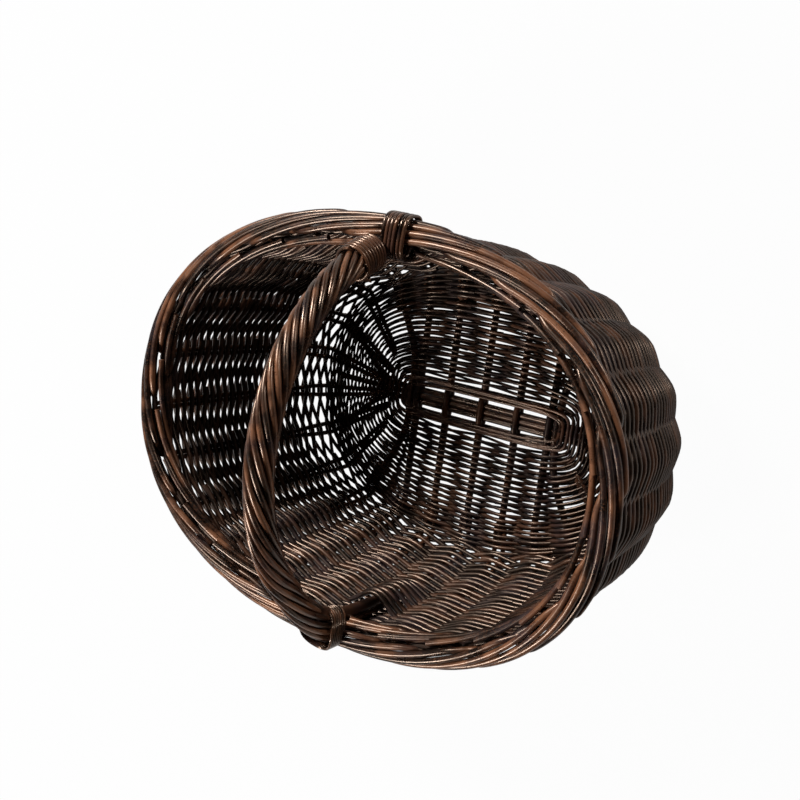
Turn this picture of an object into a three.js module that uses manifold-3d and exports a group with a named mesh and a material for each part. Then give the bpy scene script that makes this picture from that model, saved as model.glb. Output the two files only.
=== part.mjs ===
// Oval willow shopping basket with a fixed roped handle, all sizes in millimetres.
// The basket stands on the plane z = 0, its long axis runs along X and the handle crosses it along Y.
import * as THREE from 'three';
import { mergeVertices } from 'three/addons/utils/BufferGeometryUtils.js';
import Module from 'manifold-3d';

const wasm = await Module();
wasm.setup();

// Overall sizes
const RIM_HALF_LENGTH = 215;
const RIM_HALF_WIDTH = 159.5;
const RIM_HEIGHT = 201.5;
const END_RISE = 7.5;
const FOOT_HALF_LENGTH = 150;
const FOOT_HALF_WIDTH = 105.5;
const OVAL_POWER = 2.2;
const WALL_ROUNDING = 2.02;
const FOOT_ROUNDING = 3.07;
const CLEARANCE = 0.3;

// Stakes and the woven wall between them
const PAIRS = 26;
const STAKE_RADIUS = 2.2;
const LEG_SLACK = 0.25;
const FOOT_SPREAD = 0.115;
const GATHER_HEIGHT = 45;
const WEAVE_THICKNESS = 3;
const WEAVE_PLAY = 1.3;
const FOOT_PLAY = 1.2;
const WALL_BOTTOM = 10.6;
const WALL_ROWS = 10;
const UPSETT_ROWS = 5;
const ROW_CROWDING = 1.3;
const SLIT_SHARE = 0.07;
const CROSSING_HALF_WIDTH = 1.5;
const LEG_ROWS = [0, 1, 2, 3, 4, 6, 8, WALL_ROWS];

// Base
const CROSS_PITCH = 37;
const CROSS_RADIUS = 3.7;
const CROSS_HALF_LENGTH = 94;
const SLATH_CORNER_POWER = 8;
const SPLIT_HALF_HEIGHT = 6.7;
const LONG_STICKS = 3;
const LONG_RADIUS = 2.8;
const LONG_HALF_LENGTH = 99;
const BASE_SHEET = 3;
const BINDING_RADIUS = 1.4;
const BINDING_HALF_WIDTH = 19.5;
const BINDING_HALF_LENGTH = 89;
const BINDING_CORNER_POWER = 5;
const BINDING_STEPS = 24;
const WALE_RADIUS = 2.1;

// Border
const BORDER_ROD_RADIUS = 2.5;
const BORDER_STEP_ANGLE = 30.5;
const BORDER_ROD_GAP = 0.7;
const FOLLOW_END = 5.1;
const HANDLE_ROOM = 0.33;

// Handle
const HANDLE_RISE = 144;
const SPRING_DROP = 29.5;
const BOW_RADIUS = 6;
const BOW_NECK_RADIUS = 5.2;
const BOW_TIP_RADIUS = 3;
const BOW_TIP_DROP = 89.5;
const NECK_START = 5;
const NECK_END = 22;
const BOW_SLACK = 0.75;
const BOW_WOVEN_DROP = 51.5;
const POCKET_SLOPE = 1.32;
const POCKET_LEAD = 35;
const ROPE_RODS = 10;
const ROPE_ROD_RADIUS = 2.4;
const ROPE_SLACK = 1.1;
const ROPE_BACK_PITCH = 120;
const ROPE_FRONT_PITCH = 220;
const ROPE_STEPS = 22;
const ROPE_SIDES = 4;

// Cane lashings
const CANE_RADIUS = 1.05;
const CANE_STEPS = 12;
const CANE_SIDES = 4;
const LASHING_TURNS = 5;
const LASHING_PITCH = 2.65;
const BACK_WRAP_TURNS = 8;
const FRONT_WRAP_TURNS = 7;
const WRAP_PITCH = 2.95;

const COLOURS = {
  stake: 0x3a2a24,
  weave: 0x2c211e,
  stick: 0x45301f,
  border: 0x4b352c,
  rope: 0x553c30,
  cane: 0x5a3a26,
};

// The rods of the border lie side by side over an arc round the rim, one step angle apart.
const HALF_STEP = THREE.MathUtils.degToRad(BORDER_STEP_ANGLE / 2);
const BORDER_ARC = (2 * BORDER_ROD_RADIUS + BORDER_ROD_GAP) / (2 * Math.sin(HALF_STEP));
const ARC_CENTRE_OUT = 0.18 * BORDER_ARC;
const ARC_CENTRE_UP = -0.45 * BORDER_ARC;
const DIVE_SHARE = 1.09;
const BORDER_REACH = 1.18 * BORDER_ARC + BORDER_ROD_RADIUS;
const BORDER_TOP = ARC_CENTRE_UP + BORDER_ARC + BORDER_ROD_RADIUS;
const BORDER_BOTTOM = -DIVE_SHARE * BORDER_ARC - BORDER_ROD_RADIUS;
const WALL_TOP = RIM_HEIGHT + BORDER_BOTTOM - 2 * CANE_RADIUS - 8 * CLEARANCE;

// The arch of the handle springs from inside the wall, against the stakes.
const HANDLE_HALF_SPAN = RIM_HALF_WIDTH - STAKE_RADIUS - BOW_SLACK - CLEARANCE - BOW_NECK_RADIUS;
const HANDLE_SPRING = RIM_HEIGHT - SPRING_DROP;
const BOW_TIP_HEIGHT = RIM_HEIGHT - BOW_TIP_DROP;

const basket = new THREE.Group();

function addPart(name, geometry, colour, roughness) {
  const material = new THREE.MeshStandardMaterial({ color: colour, roughness, metalness: 0 });
  const mesh = new THREE.Mesh(geometry, material);
  mesh.name = name;
  basket.add(mesh);
}

// Outline of the basket seen from above. A place round it is counted in bays, from 0 at the +X end.
// A pair of stakes stands in the middle of each bay, and the rows of the wall cross between bays.

function signedPower(value, power) {
  return Math.sign(value) * Math.abs(value) ** power;
}

function ovalUnit(angle) {
  return [signedPower(Math.cos(angle), 2 / OVAL_POWER), signedPower(Math.sin(angle), 2 / OVAL_POWER)];
}

function rimAngles() {
  const samples = 1440;
  const lengths = [0];
  let before = ovalUnit(0);
  for (let i = 1; i <= samples; i += 1) {
    const unit = ovalUnit((i * 2 * Math.PI) / samples);
    const along = (unit[0] - before[0]) * RIM_HALF_LENGTH;
    const across = (unit[1] - before[1]) * RIM_HALF_WIDTH;
    lengths.push(lengths[i - 1] + Math.hypot(along, across));
    before = unit;
  }
  return lengths;
}

const RIM_LENGTHS = rimAngles();
const RIM_GIRTH = RIM_LENGTHS[RIM_LENGTHS.length - 1];
const BAY_PITCH = RIM_GIRTH / PAIRS;

function placeUnit(place) {
  const turns = place / PAIRS - Math.floor(place / PAIRS);
  const wanted = turns * RIM_GIRTH;
  let low = 0;
  let high = RIM_LENGTHS.length - 1;
  while (high - low > 1) {
    const middle = (low + high) >> 1;
    if (RIM_LENGTHS[middle] <= wanted) low = middle;
    else high = middle;
  }
  const part = (wanted - RIM_LENGTHS[low]) / (RIM_LENGTHS[high] - RIM_LENGTHS[low]);
  return ovalUnit(((low + part) * 2 * Math.PI) / (RIM_LENGTHS.length - 1));
}

function outward(unit, halfLength, halfWidth) {
  const x = signedPower(unit[0], OVAL_POWER - 1) / halfLength;
  const y = signedPower(unit[1], OVAL_POWER - 1) / halfWidth;
  return new THREE.Vector2(x, y).normalize();
}

// Point on the oval of the given half sizes, moved outwards and set at a height.
function ovalPoint(place, halfLength, halfWidth, out, height) {
  const unit = placeUnit(place);
  const normal = outward(unit, halfLength, halfWidth);
  const x = halfLength * unit[0] + out * normal.x;
  const y = halfWidth * unit[1] + out * normal.y;
  return new THREE.Vector3(x, y, height);
}

function endRise(place) {
  return END_RISE * placeUnit(place)[0] ** 2;
}

// The wall swells out quickly above the foot and stands nearly upright under the rim.
function wallHalf(height) {
  const part = Math.min(1, Math.max(0, height / RIM_HEIGHT));
  const spread = (1 - (1 - part) ** WALL_ROUNDING) ** (1 / FOOT_ROUNDING);
  return [
    FOOT_HALF_LENGTH + (RIM_HALF_LENGTH - FOOT_HALF_LENGTH) * spread,
    FOOT_HALF_WIDTH + (RIM_HALF_WIDTH - FOOT_HALF_WIDTH) * spread,
  ];
}

function wallPoint(place, height, out) {
  const [halfLength, halfWidth] = wallHalf(height);
  const rise = endRise(place) * (height / RIM_HEIGHT) ** 2;
  return ovalPoint(place, halfLength, halfWidth, out, height + rise);
}

function borderPoint(place, out, up) {
  return ovalPoint(place, RIM_HALF_LENGTH, RIM_HALF_WIDTH, out, RIM_HEIGHT + endRise(place) + up);
}

function smooth(from, to, value) {
  const part = Math.min(1, Math.max(0, (value - from) / (to - from)));
  return part * part * (3 - 2 * part);
}

function mix(from, to, part) {
  return from + (to - from) * part;
}

// Rods: a round section carried along a line of points, with flat cut ends.

function rod(points, radiusAt, sides, closed = false) {
  const count = points.length;
  const tangents = points.map((point, i) => {
    const before = closed ? points[(i + count - 1) % count] : points[Math.max(0, i - 1)];
    const after = closed ? points[(i + 1) % count] : points[Math.min(count - 1, i + 1)];
    return after.clone().sub(before).normalize();
  });
  const lead = Math.abs(tangents[0].z) < 0.9 ? new THREE.Vector3(0, 0, 1) : new THREE.Vector3(1, 0, 0);
  let normal = lead.sub(tangents[0].clone().multiplyScalar(lead.dot(tangents[0]))).normalize();
  const normals = [normal];
  for (let i = 1; i < count; i += 1) {
    const turn = new THREE.Quaternion().setFromUnitVectors(tangents[i - 1], tangents[i]);
    normal = normal.clone().applyQuaternion(turn);
    normals.push(normal);
  }
  let slip = 0;
  if (closed) {
    const turn = new THREE.Quaternion().setFromUnitVectors(tangents[count - 1], tangents[0]);
    const back = normal.clone().applyQuaternion(turn);
    const side = new THREE.Vector3().crossVectors(tangents[0], normals[0]);
    slip = Math.atan2(back.dot(side), back.dot(normals[0]));
  }
  const positions = [];
  points.forEach((point, i) => {
    const side = new THREE.Vector3().crossVectors(tangents[i], normals[i]);
    for (let j = 0; j < sides; j += 1) {
      const angle = (j * 2 * Math.PI) / sides - (slip * i) / count;
      const radius = radiusAt(i / (count - 1));
      const corner = point.clone();
      corner.addScaledVector(normals[i], radius * Math.cos(angle));
      corner.addScaledVector(side, radius * Math.sin(angle));
      positions.push(corner.x, corner.y, corner.z);
    }
  });
  const faces = [];
  const steps = closed ? count : count - 1;
  for (let i = 0; i < steps; i += 1) {
    const near = i * sides;
    const far = ((i + 1) % count) * sides;
    for (let j = 0; j < sides; j += 1) {
      const next = (j + 1) % sides;
      faces.push(near + j, near + next, far + next, near + j, far + next, far + j);
    }
  }
  if (!closed) {
    const last = (count - 1) * sides;
    for (let j = 1; j < sides - 1; j += 1) {
      faces.push(0, j + 1, j);
      faces.push(last, last + j, last + j + 1);
    }
  }
  return meshFrom(positions, faces);
}

function meshFrom(positions, faces) {
  const geometry = new THREE.BufferGeometry();
  geometry.setAttribute('position', new THREE.Float32BufferAttribute(positions, 3));
  geometry.setIndex(faces);
  geometry.computeVertexNormals();
  return geometry;
}

// Cuts

function toSolid(geometry) {
  const bare = geometry.clone();
  bare.deleteAttribute('normal');
  bare.deleteAttribute('uv');
  const merged = mergeVertices(bare, 1e-4);
  const vertProperties = new Float32Array(merged.attributes.position.array);
  const triVerts = new Uint32Array(merged.index.array);
  return new wasm.Manifold(new wasm.Mesh({ numProp: 3, vertProperties, triVerts }));
}

function fromSolid(solid) {
  const cut = solid.getMesh();
  return meshFrom(Array.from(cut.vertProperties), Array.from(cut.triVerts));
}

// Heights of the base layers: a lower sheet, the sticks between, and an upper sheet.
const STICK_HEIGHT = BASE_SHEET + CLEARANCE + CROSS_RADIUS;
const UPPER_SHEET = STICK_HEIGHT + CROSS_RADIUS + CLEARANCE;
const LONG_PITCH = 2 * LONG_RADIUS + CLEARANCE;
const SLATH_HALF_WIDTH = (LONG_STICKS / 2) * LONG_PITCH + CLEARANCE;
const SPLIT_END = SLATH_HALF_WIDTH + 1.5 * CROSS_RADIUS;

// The stake hairpins in the base stop at a rounded rectangle round the ends of the sticks.

const HAIRPIN_DEPTH = 4.5;
const HAIRPIN_ROOM = 2 * CLEARANCE + STAKE_RADIUS + HAIRPIN_DEPTH;
const INNER_HALF_LENGTH = LONG_HALF_LENGTH + HAIRPIN_ROOM;
const INNER_HALF_WIDTH = CROSS_HALF_LENGTH + HAIRPIN_ROOM;

function slathHalfWidth(x) {
  const left = 1 - Math.abs(x / INNER_HALF_LENGTH) ** SLATH_CORNER_POWER;
  return INNER_HALF_WIDTH * left ** (1 / SLATH_CORNER_POWER);
}

// The cross sticks, each split in the middle and swollen round the lengthwise sticks.

function crossStick(x) {
  const reach = slathHalfWidth(x) - HAIRPIN_ROOM;
  const stations = [-reach, -SPLIT_END, -SLATH_HALF_WIDTH, 0, SLATH_HALF_WIDTH, SPLIT_END, reach];
  const sides = 8;
  const positions = [];
  stations.forEach((y) => {
    const swollen = Math.abs(y) < SPLIT_END ? SPLIT_HALF_HEIGHT : CROSS_RADIUS;
    for (let j = 0; j < sides; j += 1) {
      const angle = ((j + 0.5) * 2 * Math.PI) / sides;
      positions.push(x - CROSS_RADIUS * Math.cos(angle), y, STICK_HEIGHT + swollen * Math.sin(angle));
    }
  });
  const faces = [];
  for (let i = 0; i < stations.length - 1; i += 1) {
    for (let j = 0; j < sides; j += 1) {
      const next = (j + 1) % sides;
      const near = i * sides;
      const far = near + sides;
      faces.push(near + j, near + next, far + next, near + j, far + next, far + j);
    }
  }
  const last = (stations.length - 1) * sides;
  for (let j = 1; j < sides - 1; j += 1) {
    faces.push(0, j + 1, j);
    faces.push(last, last + j, last + j + 1);
  }
  const slotHeight = 2 * (LONG_RADIUS + CLEARANCE);
  const slot = new THREE.BoxGeometry(4 * CROSS_RADIUS, 2 * SLATH_HALF_WIDTH, slotHeight);
  slot.translate(x, 0, STICK_HEIGHT);
  return fromSolid(toSolid(meshFrom(positions, faces)).subtract(toSolid(slot)));
}

const END_PAIR = CROSS_RADIUS + CLEARANCE;
const CROSS_PLACES = [
  -2 * CROSS_PITCH - END_PAIR,
  -2 * CROSS_PITCH + END_PAIR,
  -CROSS_PITCH,
  0,
  CROSS_PITCH,
  2 * CROSS_PITCH - END_PAIR,
  2 * CROSS_PITCH + END_PAIR,
];
CROSS_PLACES.forEach((x, i) => {
  addPart(`base_cross_stick_${i + 1}`, crossStick(x), COLOURS.stick, 0.6);
});

for (let i = 0; i < LONG_STICKS; i += 1) {
  const y = (i - (LONG_STICKS - 1) / 2) * LONG_PITCH;
  const ends = [-LONG_HALF_LENGTH, LONG_HALF_LENGTH].map((x) => new THREE.Vector3(x, y, STICK_HEIGHT));
  addPart(`base_long_stick_${i + 1}`, rod(ends, () => LONG_RADIUS, 8), COLOURS.stick, 0.6);
}

// The base weave passes over and under the sticks: one oval sheet below them and one above.

function ovalShape(halfLength, halfWidth, points, power) {
  const corners = [];
  for (let i = 0; i < points; i += 1) {
    const angle = (i * 2 * Math.PI) / points;
    const x = halfLength * signedPower(Math.cos(angle), 2 / power);
    const y = halfWidth * signedPower(Math.sin(angle), 2 / power);
    corners.push(new THREE.Vector2(x, y));
  }
  return corners;
}

function bindingOval(room) {
  const halfLength = BINDING_HALF_LENGTH + room;
  const halfWidth = BINDING_HALF_WIDTH + room;
  return ovalShape(halfLength, halfWidth, BINDING_STEPS, BINDING_CORNER_POWER);
}

function baseSheet(halfLength, halfWidth, height) {
  const shape = new THREE.Shape(ovalShape(halfLength, halfWidth, 2 * PAIRS, OVAL_POWER));
  const room = BINDING_RADIUS + 2 * CLEARANCE;
  const hole = bindingOval(room);
  shape.holes.push(new THREE.Path(hole));
  const sheet = new THREE.ExtrudeGeometry(shape, { depth: BASE_SHEET, bevelEnabled: false });
  sheet.translate(0, 0, height);
  return sheet;
}

function bindingRing(height) {
  const points = bindingOval(0).map((corner) => new THREE.Vector3(corner.x, corner.y, height));
  return rod(points, () => BINDING_RADIUS, 4, true);
}

const WEAVE_SWING = STAKE_RADIUS + WEAVE_THICKNESS / 2 + WEAVE_PLAY;
const FOOT_SWING = WEAVE_SWING + FOOT_PLAY;
const [WALE_HALF_LENGTH, WALE_HALF_WIDTH] = wallHalf(WALE_RADIUS);
const SHEET_MARGIN = WALE_RADIUS + 2 * CLEARANCE;
const [FLOOR_HALF_LENGTH, FLOOR_HALF_WIDTH] = wallHalf(WALL_BOTTOM);
const FLOOR_MARGIN = FOOT_SWING + WEAVE_THICKNESS / 2 + 3 * CLEARANCE;
addPart(
  'base_weave_lower',
  baseSheet(WALE_HALF_LENGTH - SHEET_MARGIN, WALE_HALF_WIDTH - SHEET_MARGIN, 0),
  COLOURS.weave,
  0.7,
);
addPart(
  'base_weave_upper',
  baseSheet(FLOOR_HALF_LENGTH - FLOOR_MARGIN, FLOOR_HALF_WIDTH - FLOOR_MARGIN, UPPER_SHEET),
  COLOURS.weave,
  0.7,
);
addPart('base_binding_lower', bindingRing(BASE_SHEET - BINDING_RADIUS), COLOURS.stick, 0.6);
addPart('base_binding_upper', bindingRing(UPPER_SHEET + BINDING_RADIUS), COLOURS.stick, 0.6);

// The wale, a rod ring round the foot under the bent stakes.
const walePoints = [];
for (let i = 0; i < 2 * PAIRS; i += 1) {
  walePoints.push(ovalPoint(i / 2, WALE_HALF_LENGTH, WALE_HALF_WIDTH, 0, WALE_RADIUS));
}
addPart('foot_wale', rod(walePoints, () => WALE_RADIUS, 4, true), COLOURS.stake, 0.6);

// The two legs of a pair stand side by side on the wall and part a little towards the foot.

function legPlace(pair, side, height) {
  const [halfLength, halfWidth] = wallHalf(height);
  const pitch = (BAY_PITCH * (halfLength + halfWidth)) / (RIM_HALF_LENGTH + RIM_HALF_WIDTH);
  const together = (STAKE_RADIUS + LEG_SLACK) / pitch;
  const spread = mix(FOOT_SPREAD, together, smooth(WALL_BOTTOM, GATHER_HEIGHT, height));
  return pair + 0.5 + side * spread;
}

function rowHeight(row) {
  return mix(WALL_BOTTOM, WALL_TOP, (row / WALL_ROWS) ** ROW_CROWDING);
}

// The rows go outside one pair of stakes and inside the next, and change sides from row to row.
// They hold the thin ends of the handle bow in the same way, but near the rim they all pass behind it.

const HANDLE_PLACES = [PAIRS / 4, (3 * PAIRS) / 4];
const WOVEN_HEIGHT = RIM_HEIGHT - BOW_WOVEN_DROP;

function holdsBow(pair) {
  return HANDLE_PLACES.some((place) => Math.abs(place - pair - 0.5) < 0.25);
}

function rowSide(row, pair) {
  if (holdsBow(pair) && rowHeight(row) > WOVEN_HEIGHT) return 1;
  return (row + pair) % 2 === 0 ? 1 : -1;
}

function rowOut(row, pair, height) {
  const side = rowSide(row, pair);
  const swing = mix(FOOT_SWING, WEAVE_SWING, smooth(WALL_BOTTOM, GATHER_HEIGHT, height));
  if (side > 0 || !holdsBow(pair)) return side * swing;
  const radius = bowRadius(height);
  const bowCentre = STAKE_RADIUS + BOW_SLACK + CLEARANCE + radius;
  const round = bowCentre + POCKET_SLOPE * (radius + WEAVE_THICKNESS / 2 + 2 * CLEARANCE);
  return -mix(swing, round, smooth(BOW_TIP_HEIGHT - POCKET_LEAD, BOW_TIP_HEIGHT, height));
}

// A band of the wall weave. Its rows are strips that bend round the stakes, taper there to leave slits,
// and are laid together where they cross between two pairs.
function wallBand(firstRow, lastRow) {
  const positions = [];
  const faces = [];

  function corners(place, height, out) {
    return [0.5, -0.5].map((skin) => {
      const point = wallPoint(place, height, out + skin * WEAVE_THICKNESS);
      positions.push(point.x, point.y, point.z);
      return positions.length / 3 - 1;
    });
  }

  function section(place, lowHeight, highHeight, lowOut, highOut) {
    return { low: corners(place, lowHeight, lowOut), high: corners(place, highHeight, highOut) };
  }

  function quad(a, b, c, d) {
    faces.push(a, b, c, a, c, d);
  }

  function skins(from, to) {
    quad(from.low[0], to.low[0], to.high[0], from.high[0]);
    quad(to.low[1], from.low[1], from.high[1], to.high[1]);
  }

  function bottom(from, to) {
    quad(from.low[1], to.low[1], to.low[0], from.low[0]);
  }

  function top(from, to) {
    quad(from.high[0], to.high[0], to.high[1], from.high[1]);
  }

  function strip(from, to) {
    skins(from, to);
    bottom(from, to);
    top(from, to);
  }

  // One edge of a crossing: a section for each row, each sharing its corners with the next.
  function crossingEdge(place) {
    const levels = [];
    for (let row = firstRow; row <= lastRow; row += 1) {
      const trimTop = row === lastRow && row < WALL_ROWS ? CLEARANCE / 2 : 0;
      const trimFoot = row === firstRow && row > 0 ? CLEARANCE / 2 : 0;
      levels.push(corners(place, rowHeight(row) - trimTop + trimFoot, 0));
    }
    return levels.slice(1).map((high, i) => ({ low: levels[i], high }));
  }

  const halfWidth = CROSSING_HALF_WIDTH / BAY_PITCH;
  const crossings = [];
  for (let place = 0; place < PAIRS; place += 1) {
    crossings.push([crossingEdge(place - halfWidth), crossingEdge(place + halfWidth)]);
  }
  crossings.forEach(([before, after]) => {
    before.forEach((piece, i) => skins(piece, after[i]));
    bottom(before[0], after[0]);
    top(before[before.length - 1], after[after.length - 1]);
  });
  for (let pair = 0; pair < PAIRS; pair += 1) {
    const from = crossings[pair][1];
    const to = crossings[(pair + 1) % PAIRS][0];
    for (let row = firstRow; row < lastRow; row += 1) {
      const slit = SLIT_SHARE * (rowHeight(row + 1) - rowHeight(row));
      const low = rowHeight(row) + slit;
      const high = rowHeight(row + 1) - slit;
      const bend = section(pair + 0.5, low, high, rowOut(row, pair, low), rowOut(row, pair, high));
      strip(from[row - firstRow], bend);
      strip(bend, to[row - firstRow]);
    }
  }
  return meshFrom(positions, faces);
}

addPart('upsett_weave', wallBand(0, UPSETT_ROWS), COLOURS.weave, 0.7);
addPart('side_weave', wallBand(UPSETT_ROWS, WALL_ROWS), COLOURS.weave, 0.7);

// Border. Each rod leaves its stake, slides outwards over the top while it passes three more stakes,
// dives under the border between two stakes and follows the inner edge to its cut end.

const ARC_START = 105;
const ARC_LAST = 3;
const TURN_OVER = [
  [0, 0, -0.3],
  [0.13, -0.05, 0.03],
  [0.27, -0.05, 0.31],
];
const DIVE = [
  [3.16, 0.93, -0.92],
  [3.26, 0.5, -DIVE_SHARE],
  [3.46, -0.5, -DIVE_SHARE],
  [3.6, -1.0, -0.86],
];
const FOLLOW_START = 3.8;
const FOLLOW_ANGLES = [180, 122];
const FOLLOW_REACH = 1.3;
const FOLLOW_SHIFT_OUT = 0.12;
const FOLLOW_SHIFT_UP = -0.42;

function onArc(travel) {
  const angle = THREE.MathUtils.degToRad(ARC_START - BORDER_STEP_ANGLE * travel);
  const out = ARC_CENTRE_OUT + BORDER_ARC * Math.cos(angle);
  const up = ARC_CENTRE_UP + BORDER_ARC * Math.sin(angle);
  return [travel, out, up];
}

function onFollow(travel) {
  const part = (travel - FOLLOW_START) / (FOLLOW_END - FOLLOW_START);
  const angle = THREE.MathUtils.degToRad(mix(FOLLOW_ANGLES[0], FOLLOW_ANGLES[1], part));
  const out = FOLLOW_SHIFT_OUT + FOLLOW_REACH * Math.cos(angle);
  const up = FOLLOW_SHIFT_UP + Math.sin(angle);
  return [travel, out * BORDER_ARC, up * BORDER_ARC];
}

function followEnd(stake) {
  return HANDLE_PLACES.reduce((end, place) => {
    const travel = (stake - place + PAIRS) % PAIRS;
    const meets = travel > FOLLOW_START && travel < FOLLOW_END + HANDLE_ROOM;
    return meets ? Math.min(end, travel - HANDLE_ROOM) : end;
  }, FOLLOW_END);
}

function borderRun(stake) {
  const run = TURN_OVER.map(([travel, out, up]) => [travel, out * BORDER_ARC, up * BORDER_ARC]);
  const arcSteps = 5;
  for (let i = 0; i <= arcSteps; i += 1) {
    run.push(onArc(mix(0.5, ARC_LAST, i / arcSteps)));
  }
  DIVE.forEach(([travel, out, up]) => run.push([travel, out * BORDER_ARC, up * BORDER_ARC]));
  const end = followEnd(stake);
  const followSteps = 3;
  for (let i = 0; i <= followSteps && end > FOLLOW_START; i += 1) {
    run.push(onFollow(mix(FOLLOW_START, end, i / followSteps)));
  }
  return run.map(([travel, out, up]) => borderPoint(stake - travel, out, up));
}

// A stake pair is one long rod doubled back on itself in the base: a short leg that ends under
// the border, a hairpin between the base sheets, and a long leg that turns over into the border.

const BEND_OUT = -2;
const SPINE_HALF_LENGTH = 2 * CROSS_PITCH;
const SPINE_FOLLOW = 0.8;

function footBend(place) {
  return ovalPoint(place, FLOOR_HALF_LENGTH, FLOOR_HALF_WIDTH, BEND_OUT, STICK_HEIGHT);
}

// Where a leg laid towards the spine of the base meets the rounded rectangle, less a depth.
function hairpinPoint(place, depth) {
  const outer = footBend(place);
  const spineX = THREE.MathUtils.clamp(outer.x * SPINE_FOLLOW, -SPINE_HALF_LENGTH, SPINE_HALF_LENGTH);
  const spine = new THREE.Vector3(spineX, 0, STICK_HEIGHT);
  let inside = 0;
  let outside = 1;
  for (let i = 0; i < 24; i += 1) {
    const middle = (inside + outside) / 2;
    const point = spine.clone().lerp(outer, middle);
    const within = Math.abs(point.x) < INNER_HALF_LENGTH && Math.abs(point.y) < slathHalfWidth(point.x);
    if (within) inside = middle;
    else outside = middle;
  }
  const direction = outer.clone().sub(spine).normalize();
  return spine.lerp(outer, outside).addScaledVector(direction, -depth);
}

function legPoints(pair, side) {
  return LEG_ROWS.map((row) => wallPoint(legPlace(pair, side, rowHeight(row)), rowHeight(row), 0));
}

function stakePair(pair) {
  const foot = (side) => {
    const place = legPlace(pair, side, WALL_BOTTOM);
    return [hairpinPoint(place, 0), footBend(place)];
  };
  const shortPlace = legPlace(pair, 1, RIM_HEIGHT);
  const shortTop = borderPoint(shortPlace, 0, ARC_CENTRE_UP);
  const hairpin = hairpinPoint(pair + 0.5, HAIRPIN_DEPTH);
  const shortLeg = [...foot(1), ...legPoints(pair, 1), shortTop].reverse();
  const border = borderRun(legPlace(pair, -1, RIM_HEIGHT));
  const path = [...shortLeg, hairpin, ...foot(-1), ...legPoints(pair, -1), ...border];
  const wallPart = (path.length - border.length) / path.length;
  const radiusAt = (part) => mix(STAKE_RADIUS, BORDER_ROD_RADIUS, smooth(wallPart, wallPart + 0.08, part));
  return rod(path, radiusAt, 4);
}

for (let pair = 0; pair < PAIRS; pair += 1) {
  const number = String(pair + 1).padStart(2, '0');
  addPart(`stake_pair_${number}`, stakePair(pair), COLOURS.border, 0.5);
}

// Handle. The bow is a half ellipse whose thinned ends go down inside the wall along a pair of stakes.

function bowEnd(side, height) {
  const radius = bowRadius(height);
  const halfWidth = wallHalf(height)[1];
  const y = halfWidth - STAKE_RADIUS - BOW_SLACK - CLEARANCE - radius;
  return new THREE.Vector3(0, side * y, height);
}

function bowRadius(height) {
  const tip = smooth(BOW_TIP_HEIGHT, HANDLE_SPRING, height);
  const neck = smooth(RIM_HEIGHT + NECK_START, RIM_HEIGHT + NECK_END, height);
  return mix(mix(BOW_TIP_RADIUS, BOW_NECK_RADIUS, tip), BOW_RADIUS, neck);
}

function archPoint(angle) {
  const y = HANDLE_HALF_SPAN * Math.cos(angle);
  return new THREE.Vector3(0, y, HANDLE_SPRING + HANDLE_RISE * Math.sin(angle));
}

const BOW_STEPS = 22;
const bowPoints = [bowEnd(1, BOW_TIP_HEIGHT), bowEnd(1, (BOW_TIP_HEIGHT + HANDLE_SPRING) / 2)];
for (let i = 0; i <= BOW_STEPS; i += 1) {
  bowPoints.push(archPoint((i * Math.PI) / BOW_STEPS));
}
bowPoints.push(bowEnd(-1, (BOW_TIP_HEIGHT + HANDLE_SPRING) / 2), bowEnd(-1, BOW_TIP_HEIGHT));
const bowAt = (part) => bowRadius(bowPoints[Math.round(part * (bowPoints.length - 1))].z);
addPart('handle_bow', rod(bowPoints, bowAt, 8), COLOURS.stick, 0.6);

// Distance along the arch, tabulated so that the roping keeps an even twist.

function archTable() {
  const samples = 400;
  const rows = [{ angle: 0, length: 0 }];
  for (let i = 1; i <= samples; i += 1) {
    const angle = (i * Math.PI) / samples;
    const step = archPoint(angle).distanceTo(archPoint(rows[i - 1].angle));
    rows.push({ angle, length: rows[i - 1].length + step });
  }
  return rows;
}

const ARCH = archTable();
const ARCH_LENGTH = ARCH[ARCH.length - 1].length;

function archAngle(length) {
  const index = Math.max(1, ARCH.findIndex((row) => row.length >= length));
  const part = (length - ARCH[index - 1].length) / (ARCH[index].length - ARCH[index - 1].length);
  return mix(ARCH[index - 1].angle, ARCH[index].angle, part);
}

// A point at a distance along the arch and a turn round it.
function roundArch(length, radius, turn) {
  const angle = archAngle(length);
  const centre = archPoint(angle);
  const across = HANDLE_RISE * Math.cos(angle);
  const up = HANDLE_HALF_SPAN * Math.sin(angle);
  const outwards = new THREE.Vector3(0, across, up).normalize();
  centre.addScaledVector(outwards, radius * Math.cos(turn));
  centre.x += radius * Math.sin(turn);
  return centre;
}

const LASHING_HALF_HEIGHT = (BORDER_TOP - BORDER_BOTTOM) / 2 + CANE_RADIUS + 2 * CLEARANCE;
const LASHING_CENTRE_UP = (BORDER_TOP + BORDER_BOTTOM) / 2;
const LASHING_HALF_WIDTH = BORDER_REACH + CANE_RADIUS + 2 * CLEARANCE;
const LASHING_TOP = RIM_HEIGHT + LASHING_CENTRE_UP + LASHING_HALF_HEIGHT + CANE_RADIUS;
const ROPE_FOOT = LASHING_TOP + 2 * CLEARANCE;
const ROPE_START = ARCH[ARCH.findIndex((row) => archPoint(row.angle).z >= ROPE_FOOT)].length;
const ROPE_CENTRE = BOW_RADIUS + ROPE_SLACK + ROPE_ROD_RADIUS;

// The roping is twisted tighter at the back end of the handle than at the front.
function ropeTurns(length) {
  const back = 1 / ROPE_BACK_PITCH;
  const front = 1 / ROPE_FRONT_PITCH;
  return back * length + ((front - back) * length ** 2) / (2 * ARCH_LENGTH);
}

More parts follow.
